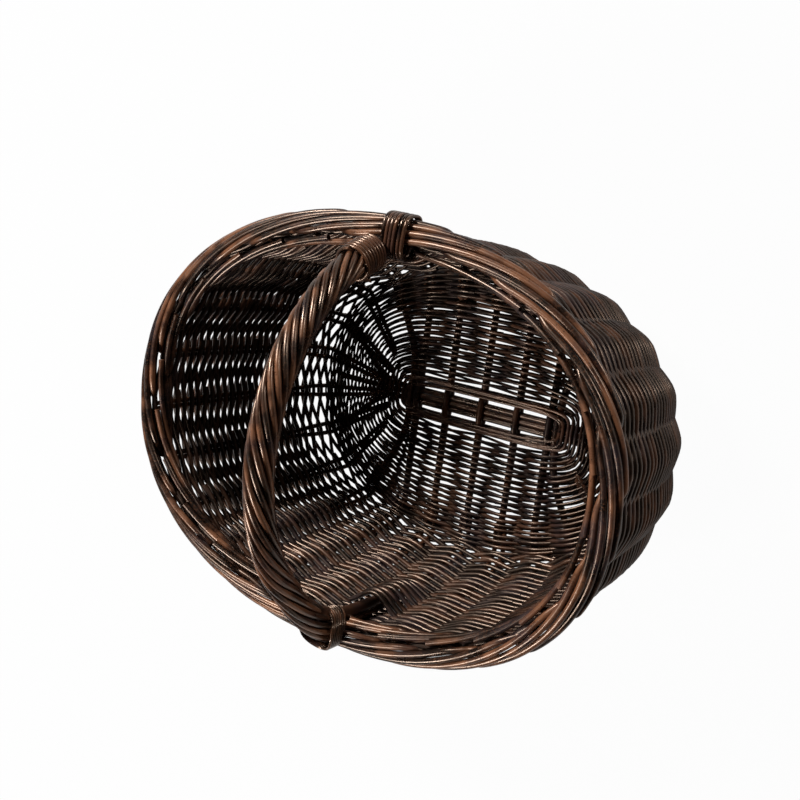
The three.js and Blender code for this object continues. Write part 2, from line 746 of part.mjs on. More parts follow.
for (let i = 0; i < ROPE_RODS; i += 1) {
  const points = [];
  for (let step = 0; step <= ROPE_STEPS; step += 1) {
    const length = mix(ROPE_START, ARCH_LENGTH - ROPE_START, step / ROPE_STEPS);
    const turn = 2 * Math.PI * (i / ROPE_RODS + ropeTurns(length));
    points.push(roundArch(length, ROPE_CENTRE, turn));
  }
  addPart(`handle_rope_rod_${i + 1}`, rod(points, () => ROPE_ROD_RADIUS, ROPE_SIDES), COLOURS.rope, 0.5);
}

// Cane windings, each one unbroken strand.

function leastGap(points, radius, stepsPerTurn) {
  let least = Infinity;
  for (let i = 0; i < points.length; i += 1) {
    for (let j = i + Math.floor(stepsPerTurn / 2); j < points.length; j += 1) {
      least = Math.min(least, points[i].distanceTo(points[j]) - 2 * radius);
    }
  }
  return least;
}

function winding(name, turns, pointAt) {
  const points = [];
  for (let step = 0; step <= turns * CANE_STEPS; step += 1) {
    points.push(pointAt(step / CANE_STEPS));
  }
  const gap = leastGap(points, CANE_RADIUS, CANE_STEPS).toFixed(2);
  console.log(`${name}: least gap between turns ${gap} mm`);
  addPart(name, rod(points, () => CANE_RADIUS, CANE_SIDES), COLOURS.cane, 0.4);
}

const WRAP_CENTRE = ROPE_CENTRE + ROPE_ROD_RADIUS + CANE_RADIUS + 3 * CLEARANCE;
function wrapLength(turns) {
  return ROPE_START + CANE_RADIUS + CLEARANCE + turns * WRAP_PITCH;
}

winding('handle_wrap_back', BACK_WRAP_TURNS, (turns) => {
  return roundArch(wrapLength(turns), WRAP_CENTRE, 2 * Math.PI * turns);
});
winding('border_lashing_front', FRONT_WRAP_TURNS, (turns) => {
  return roundArch(ARCH_LENGTH - wrapLength(turns), WRAP_CENTRE, 2 * Math.PI * turns);
});

// The back end of the handle is also lashed to the border, on the +X side of the bow.
const LASHING_START = BOW_NECK_RADIUS + CANE_RADIUS + 2 * CLEARANCE;
winding('border_lashing_back', LASHING_TURNS, (turns) => {
  const angle = 2 * Math.PI * turns + Math.PI;
  const place = HANDLE_PLACES[0] - (LASHING_START + turns * LASHING_PITCH) / BAY_PITCH;
  const out = LASHING_HALF_WIDTH * signedPower(Math.cos(angle), 2 / 3);
  const up = LASHING_CENTRE_UP + LASHING_HALF_HEIGHT * signedPower(Math.sin(angle), 2 / 3);
  return borderPoint(place, out, up);
});

export default basket;
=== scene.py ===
"""Oval willow shopping basket with a roped handle: woven model and studio scene, in metres."""

import math

import bpy
import numpy as np
from mathutils import Matrix, Vector


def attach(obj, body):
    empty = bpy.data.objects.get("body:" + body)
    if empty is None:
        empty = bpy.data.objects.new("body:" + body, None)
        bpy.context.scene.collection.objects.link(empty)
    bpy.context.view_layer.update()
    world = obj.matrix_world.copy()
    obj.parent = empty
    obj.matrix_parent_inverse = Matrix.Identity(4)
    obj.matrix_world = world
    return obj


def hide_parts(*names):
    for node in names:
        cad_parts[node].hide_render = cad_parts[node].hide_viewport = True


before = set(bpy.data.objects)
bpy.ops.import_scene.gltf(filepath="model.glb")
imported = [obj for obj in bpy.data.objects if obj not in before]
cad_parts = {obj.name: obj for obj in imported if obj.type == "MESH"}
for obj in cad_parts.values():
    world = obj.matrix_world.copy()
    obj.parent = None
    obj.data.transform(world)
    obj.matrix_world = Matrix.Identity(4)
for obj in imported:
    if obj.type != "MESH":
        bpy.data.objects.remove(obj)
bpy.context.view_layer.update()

# Outline of the basket, the same values as the CAD source
RIM_HALF_LENGTH = 0.215
RIM_HALF_WIDTH = 0.1595
RIM_HEIGHT = 0.2015
END_RISE = 0.0075
FOOT_HALF_LENGTH = 0.150
FOOT_HALF_WIDTH = 0.1055
OVAL_POWER = 2.2
WALL_ROUNDING = 2.02
FOOT_ROUNDING = 3.07
CLEARANCE = 0.0003

# Stakes and weave. Each row passes outside one pair of stakes and inside the next.
PAIRS = 26
STAKE_RADIUS = 0.0022
LEG_SLACK = 0.00025
FOOT_SPREAD = 0.115
GATHER_HEIGHT = 0.045
WALL_BOTTOM = 0.0095
WALL_TOP = 0.2012
WALL_ROWS = 51
UPSETT_ROWS = 18
ROW_POINTS = 11
WEAVER_BUTT = 0.00245
WEAVER_TIP = 0.00205
WEAVER_RANGE = (0.90, 1.08)
WEAVER_TAPER = 1.3
WEAVE_SWING = 0.0046
TIGHT_HEIGHT = 0.140
TIGHT_SHARE = 0.62
FLAT_SHARE = 0.07
ROUNDED_SHARE = 0.15

# Single weavers. Each passes twice as many pairs of stakes as is drawn for it, and laps the next one.
# Laps and fades are shares of a bay. The ends lie inside the wall, butts below the row and tips above.
WEAVER_SPANS = (3, 6)
SHORTEST_WEAVER = 4
ROW_LAP = 0.28
BUTT_FADE = 0.2
TIP_FADE = 0.3
BUTT_INSET = 0.0012
TIP_INSET = 0.0008
BUTT_DROP = 0.0008
TIP_LIFT = 0.0006

# Slow ripples of the rows: waves round the wall, what a row keeps of the row below, and their sizes
RIPPLE_WAVES = (2, 10)
RIPPLE_KEPT = 0.72
RIPPLE_NEW = 0.5
FOOT_LOOSENESS = 0.00050
WALL_LOOSENESS = 0.00022

# Base. The level of a round of the weave is 0 at the binding and 1 at the edge.
STICK_HEIGHT = 0.0070
CROSS_PITCH = 0.037
CROSS_RADIUS = 0.0037
CROSS_TAPER = 0.8
CROSS_START = 0.011
SPLIT_HALF_HEIGHT = 0.0067
SPLIT_RADIUS = 0.0031
LONG_RADIUS = 0.0028
LONG_PITCH = 0.0059
STICK_HALF_WIDTH = 0.094
STICK_HALF_LENGTH = 0.099
SLATH_CORNER_POWER = 8
HAIRPIN_DEPTH = 0.0045
HAIRPIN_ROOM = 0.0073
BINDING_HALF_LENGTH = 0.089
BINDING_HALF_WIDTH = 0.0195
BINDING_POWER = 5
BINDING_PITCH = 0.0032
BINDING_ROUNDS = 3
BINDING_SWAY = 0.0012
BINDING_RISE = 0.0013
BINDING_WAVE = 0.0004
FIRST_ROUND_ROOM = 0.0042
BASE_ROWS = 40
BASE_ROW_SHIFT = 0.3
BASE_ROD_RADIUS = 0.0016
BASE_ROD_RANGE = (0.86, 1.12)
BASE_ROD_TAPER = (1.1, 0.85)
BASE_SPANS = (5, 9)
BASE_LAP = 0.3
BASE_POINTS = 8
BASE_SWAY = 0.0004
BASE_LIFT = 0.0050
OUTER_LIFT = 0.0037
OUTER_LEVELS = (0.5, 0.8)
OUTER_THICKNESS = 1.18
SINGLES_LEVEL = 0.16
STAKES_LEVEL = 0.72
BASE_OUTER = (0.1775, 0.1285)
LOOSE_START = 0.075
LOOSE_FULL = 0.115
LOOSE_SHARE = 0.30
LOOSE_HEIGHT = 0.055

# Foot wale: two rods twisted round each other along the edge of the base
WALE_RADIUS = 0.0012
WALE_HEIGHT = 0.00225
WALE_SWING = 0.001
WALE_OUTLINE_HEIGHT = 0.0021
WALE_POINTS = 14

# Border. The rods swell and thin again over shares of their length, and travel is counted in bays.
BORDER_ROD_RADIUS = 0.0026
BORDER_ROD_RANGE = (0.96, 1.07)
BORDER_TIP_SHARE = 0.88
BORDER_STEP_ANGLE = 32.0
BORDER_ROD_GAP = 0.0005
SWELL_SHARE = 0.08
TAPER_SHARE = 0.1
FOLLOW_START = 4.8
FOLLOW_END = 6.9
SHORTEST_FOLLOW = 0.02
HANDLE_ROOM = 0.33

# Handle: the bow, the pockets that the weave leaves for its ends, and the rods roped round it
HANDLE_PLACES = (PAIRS / 4, 3 * PAIRS / 4)
HANDLE_HALF_SPAN = 0.15105
HANDLE_SPRING = 0.172
HANDLE_RISE = 0.144
BOW_RADIUS = 0.0060
BOW_NECK_RADIUS = 0.0052
BOW_TIP_RADIUS = 0.0030
BOW_TIP_HEIGHT = 0.112
BOW_SLACK = 0.00075
BOW_WOVEN_HEIGHT = 0.150
NECK_START = 0.005
NECK_END = 0.022
POCKET_ROOM = 0.0032
POCKET_LEAD = 0.035
POCKET_REACH = (0.04, 0.62)
OUTSIDE_REACH = (0.01, 0.5)
ROPE_RODS = 10
ROPE_BACK_RADIUS = 0.0022
ROPE_FRONT_RADIUS = 0.0025
ROPE_RANGE = (0.9, 1.06)
ROPE_CENTRE = 0.0092
ROPE_SINK = 0.0004
ROPE_SEAT = 0.2
ROPE_PHASE = 0.15
ROPE_POINTS = 150
ROPE_BACK_PITCH = 0.118
ROPE_FRONT_PITCH = 0.230
ROPE_FOOT = 0.2135
ROPE_OVERRUN = 0.012
SWEEP_LENGTH = 0.085
SWEEP_OUT = 0.0120

# Cane
CANE_RADIUS = 0.00125

# Wrap at the back end of the handle, with two short tails
WRAP_TURNS = 8
WRAP_PITCH = 0.0030
WRAP_ROOM = 0.0044
WRAP_RADIUS = CANE_RADIUS * 0.98
TAIL_SHIFTS = (0.0, 0.0032)
TAIL_ALONG = 0.022
TAIL_ROOM = 0.004
TAIL_ANGLE = 2.6
TAIL_SPREAD = 60
TAIL_RADIUS = 0.0007

# Lashing on the border beside the handle's back foot: distances of its rings from the foot
RING_STARTS = (0.0062, 0.0096, 0.0130, 0.0164, 0.0212, 0.0246)
RING_SLANT = 0.0012
RING_RADIUS = 0.00150
RING_ROOM = 0.0006
RING_POWER = 3
RING_BOTTOM = -1.09
RING_HALF_WIDTH = 1.18

# Collar round the handle's front foot and the border
COLLAR_TURNS = 7
COLLAR_PITCH = 0.00270
COLLAR_RADIUS = CANE_RADIUS * 0.9
COLLAR_CENTRE = (0.001, -0.1570)
COLLAR_HALF_WIDTH = 0.0145
COLLAR_WIDENING = 0.0001
COLLAR_HALF_DEPTH = 0.0160
COLLAR_BOTTOM = 0.2030
COLLAR_SAG = 0.0045

# Rods: sides of their section, and how they bend and swell. The scales are waves to a metre.
ROD_SIDES = 6
ROD_WOBBLE = 0.0004
WOBBLE_SCALE = 18.0
UNEVENNESS = 0.16
UNEVENNESS_SCALE = 55.0
SHARP_ANGLE = 75
LINE_STEPS = 5
STICK_STEPS = 4
STREAK_SHIFT = 7.3

# Points along the curves that are measured before use
OVAL_SAMPLES = 1441
WALL_SAMPLES = 400
RING_SAMPLES = 2881
ARCH_SAMPLES = 801

# Stain of the willow. The scales are waves to a metre.
DARK_BROWN = (0.0030, 0.0016, 0.0013)
WEAVE_BROWN = (0.0088, 0.0037, 0.0023)
WEAVE_LIGHT = (0.060, 0.024, 0.0125)
STICK_BROWN = (0.036, 0.0145, 0.0080)
STICK_LIGHT = (0.120, 0.050, 0.026)
BORDER_BROWN = (0.038, 0.0145, 0.0075)
BORDER_LIGHT = (0.155, 0.064, 0.031)
CANE_BROWN = (0.052, 0.028, 0.017)
CANE_LIGHT = (0.110, 0.046, 0.023)
COOL_BROWN = (0.024, 0.018, 0.023)
SPECK_BROWN = (0.012, 0.007, 0.005)
SHEEN_TINT = (1.0, 0.71, 0.53)
STAIN_STOPS = (0.18, 0.50, 0.86)
MOTTLE_SCALE = 70.0
FINE_SCALE = 620.0
COOL_SCALE = 34.0
SPECK_SCALE = 300.0
STREAK_SCALE = 24.0
STREAK_TONE = 41.0
TONE_SHARE = 0.80
STREAK_SHARE = 2.1
MOTTLE_SHARE = 1.2
SHADE_LEVEL = 1.56
COOL_LIMITS = (0.47, 0.66)
COOL_SHARE = 0.50
RUBBED_LIMITS = (0.50, 0.74)
RUBBED_GAIN = 1.9
SPECK_LIMITS = (0.10, 0.22)
FINE_GRAIN = 0.3
MOTTLE_GRAIN = 0.8
SPECK_GRAIN = 0.25
BUMP_STRENGTH = 0.22
BUMP_DISTANCE = 0.0005
FINE_ROUGHNESS = 0.08
MOTTLE_ROUGHNESS = 0.36

# Studio: the camera's place and axes, and its focal length in pixels of the square picture
CAMERA_PLACE = (0.5203857, 0.2191337, 0.9511376)
CAMERA_RIGHT = (0.81807788, 0.12914507, -0.56041961)
CAMERA_UP = (-0.21797389, 0.97138422, -0.09434028)
CAMERA_BACK = (0.53219918, 0.19933454, 0.82281819)
PICTURE_SIDE = 800
FOCAL_PIXELS = 1198.85
SENSOR_WIDTH = 36.0
CLIP_NEAR = 0.05
CLIP_FAR = 20.0

# The floor and the world show white to the camera. What lights the basket from them is far darker.
WHITE = (1.0, 1.0, 1.0, 1.0)
FLOOR_GREY = (0.42, 0.42, 0.42, 1.0)
FLOOR_SHOWN = 0.97
FLOOR_IN_GLOSS = 0.2
FLOOR_HALF_SIDE = 6.0
FLOOR_DROP = 0.0005
WORLD_SHOWN = 0.98
WORLD_LIGHT = 0.012

# Lamps: name, place, side of the square and power. All point at the same spot.
LAMP_TARGET = (0, 0, 0.1)
LAMPS = (
    ("Key light", (-1.25, 1.55, 1.80), 0.6, 85.0),
    ("Side light", (-1.15, -1.45, 1.90), 0.6, 57.0),
    ("Low light", (1.75, 1.65, 0.42), 0.35, 16.0),
)


# Small helpers


def mix(start, end, part):
    return start + (end - start) * part


def smooth(start, end, value):
    part = np.clip((value - start) / (end - start), 0.0, 1.0)
    return part * part * (3 - 2 * part)


def signed_power(value, power):
    return np.sign(value) * np.abs(value) ** power


def through(controls, steps):
    """A smooth line through the control points, with the given number of steps a span."""
    points = np.asarray(controls, dtype=float)
    first = 2 * points[0] - points[1]
    last = 2 * points[-1] - points[-2]
    padded = np.vstack([first, points, last])
    part = np.linspace(0, 1, steps, endpoint=False)[:, None]
    pieces = []
    for a, b, c, d in zip(padded, padded[1:], padded[2:], padded[3:]):
        bend = 2 * a - 5 * b + 4 * c - d
        turn = 3 * b - a - 3 * c + d
        pieces.append(0.5 * (2 * b + (c - a) * part + bend * part**2 + turn * part**3))
    return np.vstack([*pieces, points[-1:]])


def add_object(name, data):
    made = bpy.data.objects.new(name, data)
    bpy.context.scene.collection.objects.link(made)
    return made


# Outline of the basket. A place round it is counted in bays, from 0 at the +X end. A pair of stakes
# stands in the middle of each bay.


def oval_unit(angle, power=OVAL_POWER):
    return signed_power(np.cos(angle), 2 / power), signed_power(np.sin(angle), 2 / power)


OVAL_ANGLES = np.linspace(0, 2 * math.pi, OVAL_SAMPLES)
OVAL_X, OVAL_Y = oval_unit(OVAL_ANGLES)
OVAL_STEPS = np.hypot(np.diff(OVAL_X) * RIM_HALF_LENGTH, np.diff(OVAL_Y) * RIM_HALF_WIDTH)
OVAL_LENGTHS = np.concatenate([[0], np.cumsum(OVAL_STEPS)])
RIM_GIRTH = OVAL_LENGTHS[-1]
BAY_PITCH = RIM_GIRTH / PAIRS


def place_unit(place):
    wanted = np.mod(place, PAIRS) / PAIRS * RIM_GIRTH
    return oval_unit(np.interp(wanted, OVAL_LENGTHS, OVAL_ANGLES))


def oval_points(place, half_length, half_width, out, height):
    unit_x, unit_y = place_unit(place)
    normal_x = signed_power(unit_x, OVAL_POWER - 1) / half_length
    normal_y = signed_power(unit_y, OVAL_POWER - 1) / half_width
    size = np.hypot(normal_x, normal_y)
    x = half_length * unit_x + out * normal_x / size
    y = half_width * unit_y + out * normal_y / size
    return np.stack(np.broadcast_arrays(x, y, height), axis=-1)


def end_rise(place):
    return END_RISE * place_unit(place)[0] ** 2


def wall_half(height):
    part = np.clip(np.asarray(height) / RIM_HEIGHT, 0, 1)
    spread = (1 - (1 - part) ** WALL_ROUNDING) ** (1 / FOOT_ROUNDING)
    half_length = mix(FOOT_HALF_LENGTH, RIM_HALF_LENGTH, spread)
    half_width = mix(FOOT_HALF_WIDTH, RIM_HALF_WIDTH, spread)
    return half_length, half_width


def wall_points(place, height, out):
    half_length, half_width = wall_half(height)
    rise = end_rise(place) * (np.asarray(height) / RIM_HEIGHT) ** 2
    return oval_points(place, half_length, half_width, out, height + rise)


def border_points(place, out, up):
    rim = RIM_HEIGHT + end_rise(place) + up
    return oval_points(place, RIM_HALF_LENGTH, RIM_HALF_WIDTH, out, rim)


def leg_place(pair, side, height):
    """Where a leg of a pair stands: beside the other one, and a little apart from it at the foot."""
    half_length, half_width = wall_half(height)
    pitch = BAY_PITCH * (half_length + half_width) / (RIM_HALF_LENGTH + RIM_HALF_WIDTH)
    together = (STAKE_RADIUS + LEG_SLACK) / pitch
    return pair + 0.5 + side * mix(FOOT_SPREAD, together, smooth(WALL_BOTTOM, GATHER_HEIGHT, height))


# Rods. Each one is a line of points with a thickness, a tone of its own and the length run so far.


class Rods:
    def __init__(self):
        self.lines = []

    def add(self, points, radius, tone):
        points = np.asarray(points, dtype=float)
        steps = np.linalg.norm(np.diff(points, axis=0), axis=1)
        run = np.concatenate([[0], np.cumsum(steps)]) + tone * STREAK_SHIFT
        radius = np.broadcast_to(np.asarray(radius, dtype=float), (len(points),))
        self.lines.append((points, radius, np.full(len(points), tone), run))

    def as_object(self, name):
        places = np.vstack([line[0] for line in self.lines])
        edges = []
        start = 0
        for line in self.lines:
            count = len(line[0])
            edges.extend((i, i + 1) for i in range(start, start + count - 1))
            start += count
        mesh = bpy.data.meshes.new(name)
        mesh.from_pydata(places.tolist(), edges, [])
        for index, label in ((1, "radius"), (2, "tone"), (3, "run")):
            values = np.concatenate([line[index] for line in self.lines]).astype(np.float32)
            mesh.attributes.new(label, "FLOAT", "POINT").data.foreach_set("value", values)
        return add_object(name, mesh)


# Geometry nodes tree that turns lines into rods


def link_nodes(tree, pairs):
    for source, target in pairs:
        tree.links.new(source, target)


def rod_tree():
    tree = bpy.data.node_groups.new("Rods along lines", "GeometryNodeTree")
    sockets = (
        ("Geometry", "NodeSocketGeometry", None),
        ("Sides", "NodeSocketInt", ROD_SIDES),
        ("Wobble", "NodeSocketFloat", ROD_WOBBLE),
        ("Wobble scale", "NodeSocketFloat", WOBBLE_SCALE),
        ("Unevenness", "NodeSocketFloat", UNEVENNESS),
        ("Unevenness scale", "NodeSocketFloat", UNEVENNESS_SCALE),
        ("Seed", "NodeSocketFloat", 1.0),
        ("Material", "NodeSocketMaterial", None),
    )
    for label, kind, default in sockets:
        socket = tree.interface.new_socket(label, in_out="INPUT", socket_type=kind)
        if default is not None:
            socket.default_value = default
    tree.interface.new_socket("Geometry", in_out="OUTPUT", socket_type="NodeSocketGeometry")

    def node(kind, **settings):
        made = tree.nodes.new(kind)
        for key, value in settings.items():
            setattr(made, key, value)
        return made

    given = node("NodeGroupInput").outputs
    place = node("GeometryNodeInputPosition")
    wander = node("ShaderNodeTexNoise", noise_dimensions="4D")
    centred = node("ShaderNodeVectorMath", operation="SUBTRACT")
    centred.inputs[1].default_value = (0.5, 0.5, 0.5)
    offset = node("ShaderNodeVectorMath", operation="SCALE")
    moved = node("GeometryNodeSetPosition")
    link_nodes(
        tree,
        [
            (place.outputs[0], wander.inputs["Vector"]),
            (given["Seed"], wander.inputs["W"]),
            (given["Wobble scale"], wander.inputs["Scale"]),
            (wander.outputs["Color"], centred.inputs[0]),
            (centred.outputs[0], offset.inputs[0]),
            (given["Wobble"], offset.inputs["Scale"]),
            (given["Geometry"], moved.inputs["Geometry"]),
            (offset.outputs[0], moved.inputs["Offset"]),
        ],
    )
    curve = node("GeometryNodeMeshToCurve")
    radius = node("GeometryNodeInputNamedAttribute", data_type="FLOAT")
    radius.inputs["Name"].default_value = "radius"
    swell = node("ShaderNodeTexNoise", noise_dimensions="4D")
    level = node("ShaderNodeMath", operation="SUBTRACT")
    level.inputs[1].default_value = 0.5
    share = node("ShaderNodeMath", operation="MULTIPLY_ADD")
    share.inputs[2].default_value = 1.0
    thick = node("ShaderNodeMath", operation="MULTIPLY")
    sized = node("GeometryNodeSetCurveRadius")
    link_nodes(
        tree,
        [
            (moved.outputs[0], curve.inputs["Mesh"]),
            (place.outputs[0], swell.inputs["Vector"]),
            (given["Seed"], swell.inputs["W"]),
            (given["Unevenness scale"], swell.inputs["Scale"]),
            (swell.outputs[0], level.inputs[0]),
            (level.outputs[0], share.inputs[0]),
            (given["Unevenness"], share.inputs[1]),
            (share.outputs[0], thick.inputs[0]),
            (radius.outputs["Attribute"], thick.inputs[1]),
            (curve.outputs[0], sized.inputs["Curve"]),
            (thick.outputs[0], sized.inputs["Radius"]),
        ],
    )
    profile = node("GeometryNodeCurvePrimitiveCircle", mode="RADIUS")
    profile.inputs["Radius"].default_value = 1.0
    own_radius = node("GeometryNodeInputRadius")
    skin = node("GeometryNodeCurveToMesh")
    skin.inputs["Fill Caps"].default_value = True
    soft = node("GeometryNodeSetShadeSmooth", domain="FACE")
    corner = node("GeometryNodeInputMeshEdgeAngle")
    is_sharp = node("FunctionNodeCompare", data_type="FLOAT", operation="GREATER_THAN")
    is_sharp.inputs[1].default_value = math.radians(SHARP_ANGLE)
    cut = node("GeometryNodeSetShadeSmooth", domain="EDGE")
    cut.inputs["Shade Smooth"].default_value = False
    real = node("GeometryNodeRealizeInstances")
    coat = node("GeometryNodeSetMaterial")
    result = node("NodeGroupOutput")
    link_nodes(
        tree,
        [
            (given["Sides"], profile.inputs["Resolution"]),
            (sized.outputs[0], skin.inputs["Curve"]),
            (profile.outputs[0], skin.inputs["Profile Curve"]),
            (own_radius.outputs[0], skin.inputs["Scale"]),
            (skin.outputs[0], soft.inputs["Geometry"]),
            (soft.outputs[0], cut.inputs["Geometry"]),
            (corner.outputs["Unsigned Angle"], is_sharp.inputs[0]),
            (is_sharp.outputs[0], cut.inputs["Selection"]),
            (cut.outputs[0], real.inputs[0]),
            (real.outputs[0], coat.inputs["Geometry"]),
            (given["Material"], coat.inputs["Material"]),
            (coat.outputs[0], result.inputs[0]),
        ],
    )
    return tree


ROD_TREE = rod_tree()


def make_rods(rods, name, material, nodes, seed, sides=ROD_SIDES, wobble=ROD_WOBBLE):
    """Turns the collected lines into one plain mesh, and hands it to the frame."""
    lines = rods.as_object(name + "_lines")
    modifier = lines.modifiers.new("Rods", "NODES")
    modifier.node_group = ROD_TREE
    values = {"Sides": sides, "Seed": seed, "Wobble": wobble, "Material": material}
    for item in ROD_TREE.interface.items_tree:
        if item.in_out == "INPUT" and item.name in values:
            modifier[item.identifier] = values[item.name]
    depsgraph = bpy.context.evaluated_depsgraph_get()
    shown = lines.evaluated_get(depsgraph)
    mesh = bpy.data.meshes.new_from_object(shown, preserve_all_data_layers=True, depsgraph=depsgraph)
    mesh.name = name
    piece = add_object(name, mesh)
    bpy.data.objects.remove(lines)
    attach(piece, "root")
    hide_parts(*nodes)


# Shader maths


def opaque(colour):
    return (*colour, 1.0)


class Maths:
    """A socket that adds a Math node for each operator used on it."""

    def __init__(self, shader, socket):
        self.shader = shader
        self.socket = socket

    def _math(self, operation, first, second):
        return self.shader.node("ShaderNodeMath", {"operation": operation}, {0: first, 1: second})

    def __add__(self, other):
        return self._math("ADD", self, other)

    __radd__ = __add__

    def __sub__(self, other):
        return self._math("SUBTRACT", self, other)

    def __rsub__(self, other):
        return self._math("SUBTRACT", other, self)

    def __mul__(self, other):
        return self._math("MULTIPLY", self, other)


class Shader:
    """A material whose nodes are added by one method."""

    def __init__(self, name):
        self.material = bpy.data.materials.new(name)
        self.material.use_nodes = True
        self.tree = self.material.node_tree
        self.tree.nodes.clear()

    def node(self, kind, settings=None, inputs=None, output=0):
        made = self.tree.nodes.new(kind)
        for key, value in (settings or {}).items():
            if key == "stops":
                self.set_stops(made.color_ramp, value)
            else:
                setattr(made, key, value)
        for key, value in (inputs or {}).items():
            if isinstance(value, Maths):
                self.tree.links.new(value.socket, made.inputs[key])
            else:
                made.inputs[key].default_value = value
        if not made.outputs:
            return made
        return Maths(self, made.outputs[output])

    def set_stops(self, ramp, stops):
        while len(ramp.elements) < len(stops):
            ramp.elements.new(1.0)
        for element, (position, colour) in zip(ramp.elements, stops):
            element.position = position
            element.color = opaque(colour)

    def attribute(self, name):
        return self.node("ShaderNodeAttribute", {"attribute_name": name}, output="Fac")

    def noise(self, place, scale, detail):
        return self.node("ShaderNodeTexNoise", None, {"Vector": place, "Scale": scale, "Detail": detail})

    def blend(self, share, first, second):
        inputs = {0: share, 6: first, 7: second}
        return self.node("ShaderNodeMix", {"data_type": "RGBA"}, inputs, output=2)

    def limited(self, value, low, high):
        inputs = {"Value": value, "From Min": low, "From Max": high}
        return self.node("ShaderNodeMapRange", {"interpolation_type": "SMOOTHSTEP"}, inputs)


def willow(name, middle, light, roughness, shine, worn, speckle):
    """Stained willow: each rod has its own tone, with mottling, long streaks and dark specks."""
    shader = Shader(name)
    place = shader.node("ShaderNodeTexCoord", output="Object")
    tone = shader.attribute("tone")
    run = shader.attribute("run")
    mottle = shader.noise(place, MOTTLE_SCALE, 4.0)
    fine = shader.noise(place, FINE_SCALE, 3.0)
    streak = shader.node(
        "ShaderNodeTexNoise",
        {"noise_dimensions": "1D"},
        {"W": run * STREAK_SCALE + tone * STREAK_TONE, "Scale": 1.0, "Detail": 2.0},
    )
    shade = tone * TONE_SHARE + streak * STREAK_SHARE + mottle * MOTTLE_SHARE - SHADE_LEVEL
    stops = list(zip(STAIN_STOPS, (DARK_BROWN, middle, light)))
    stained = shader.node("ShaderNodeValToRGB", {"stops": stops}, {"Fac": shade})
    cool = shader.limited(shader.noise(place, COOL_SCALE, 2.0), *COOL_LIMITS)
    greyed = shader.blend(cool * COOL_SHARE, stained, opaque(COOL_BROWN))
    rubbed = shader.limited(fine, *RUBBED_LIMITS) * worn
    bright = shader.blend(rubbed, greyed, opaque(part * RUBBED_GAIN for part in light))
    specks = shader.node("ShaderNodeTexVoronoi", None, {"Vector": place, "Scale": SPECK_SCALE})
    is_speck = (1.0 - shader.limited(specks, *SPECK_LIMITS)) * speckle
    colour = shader.blend(is_speck, bright, opaque(SPECK_BROWN))
    grain = fine * FINE_GRAIN + mottle * MOTTLE_GRAIN + specks * SPECK_GRAIN
    relief = {"Height": grain, "Strength": BUMP_STRENGTH, "Distance": BUMP_DISTANCE}
    inputs = {
        "Base Color": colour,
        "Roughness": roughness + (fine - 0.5) * FINE_ROUGHNESS + (mottle - 0.5) * MOTTLE_ROUGHNESS,
        "Normal": shader.node("ShaderNodeBump", None, relief),
        "Specular IOR Level": shine,
        "Specular Tint": opaque(SHEEN_TINT),
    }
    surface = shader.node("ShaderNodeBsdfPrincipled", None, inputs)
    shader.node("ShaderNodeOutputMaterial", None, {"Surface": surface})
    return shader.material


weave_willow = willow(
    "Woven stained willow", WEAVE_BROWN, WEAVE_LIGHT, roughness=0.35, shine=0.78, worn=0.15, speckle=0.35
)
stick_willow = willow(
    "Base stick willow", STICK_BROWN, STICK_LIGHT, roughness=0.31, shine=0.8, worn=0.22, speckle=0.6
)
border_willow = willow(
    "Border rod willow", BORDER_BROWN, BORDER_LIGHT, roughness=0.32, shine=0.72, worn=0.25, speckle=0.8
)
handle_willow = willow(
    "Handle rod willow", BORDER_BROWN, BORDER_LIGHT, roughness=0.31, shine=0.98, worn=0.25, speckle=0.8
)
cane_skin = willow(
    "Lashing cane", CANE_BROWN, CANE_LIGHT, roughness=0.24, shine=1.0, worn=0.12, speckle=0.15
)


# Wall weave. The rows go outside one pair of stakes and inside the next, and change sides from row
# to row. They hold the thin ends of the handle bow in the same way, but near the rim all pass outside it.


def row_heights():
    """Heights of the rows, evenly spaced along the curve of the wall."""
    heights = np.linspace(WALL_BOTTOM, WALL_TOP, WALL_SAMPLES)
    half_width = wall_half(heights)[1]
    steps = np.hypot(np.diff(heights), np.diff(half_width))
    lengths = np.concatenate([[0], np.cumsum(steps)])
    wanted = np.linspace(0, lengths[-1], WALL_ROWS)
    return np.interp(wanted, lengths, heights)


ROW_HEIGHTS = row_heights()


def over_and_under(position, row):
    """1 on one side of a stake and -1 on the other, changing between neighbouring stakes and rows."""
    stake = np.floor(position)
    part = position - stake
    side = 1 - 2 * np.mod(stake + row, 2)
    straight = np.clip((part - FLAT_SHARE) / (1 - 2 * FLAT_SHARE), 0, 1)
    return side * (1 - 2 * mix(straight, smooth(0, 1, straight), ROUNDED_SHARE))


def weave_out(place, row, height):
    """How far a row stands outside the middle of the wall. Places are mod the number of pairs."""
    swing = WEAVE_SWING * mix(1, TIGHT_SHARE, smooth(TIGHT_HEIGHT, WALL_TOP, height))
    wave = swing * over_and_under(place - 0.5, row)
    bow = float(bow_radius(height))
    depth = STAKE_RADIUS + BOW_SLACK + CLEARANCE + 2 * bow + POCKET_ROOM - swing
    over_bow = smooth(BOW_TIP_HEIGHT - POCKET_LEAD, BOW_TIP_HEIGHT, height)
    for handle_place in HANDLE_PLACES:
        away = np.abs(place - handle_place)
        passes_inside = (row + round(handle_place - 0.5)) % 2 == 1
        if height > BOW_WOVEN_HEIGHT:
            wave = mix(wave, WEAVE_SWING, 1 - smooth(*OUTSIDE_REACH, away))
        elif passes_inside:
            wave = wave - depth * over_bow * (1 - smooth(*POCKET_REACH, away))
    return wave


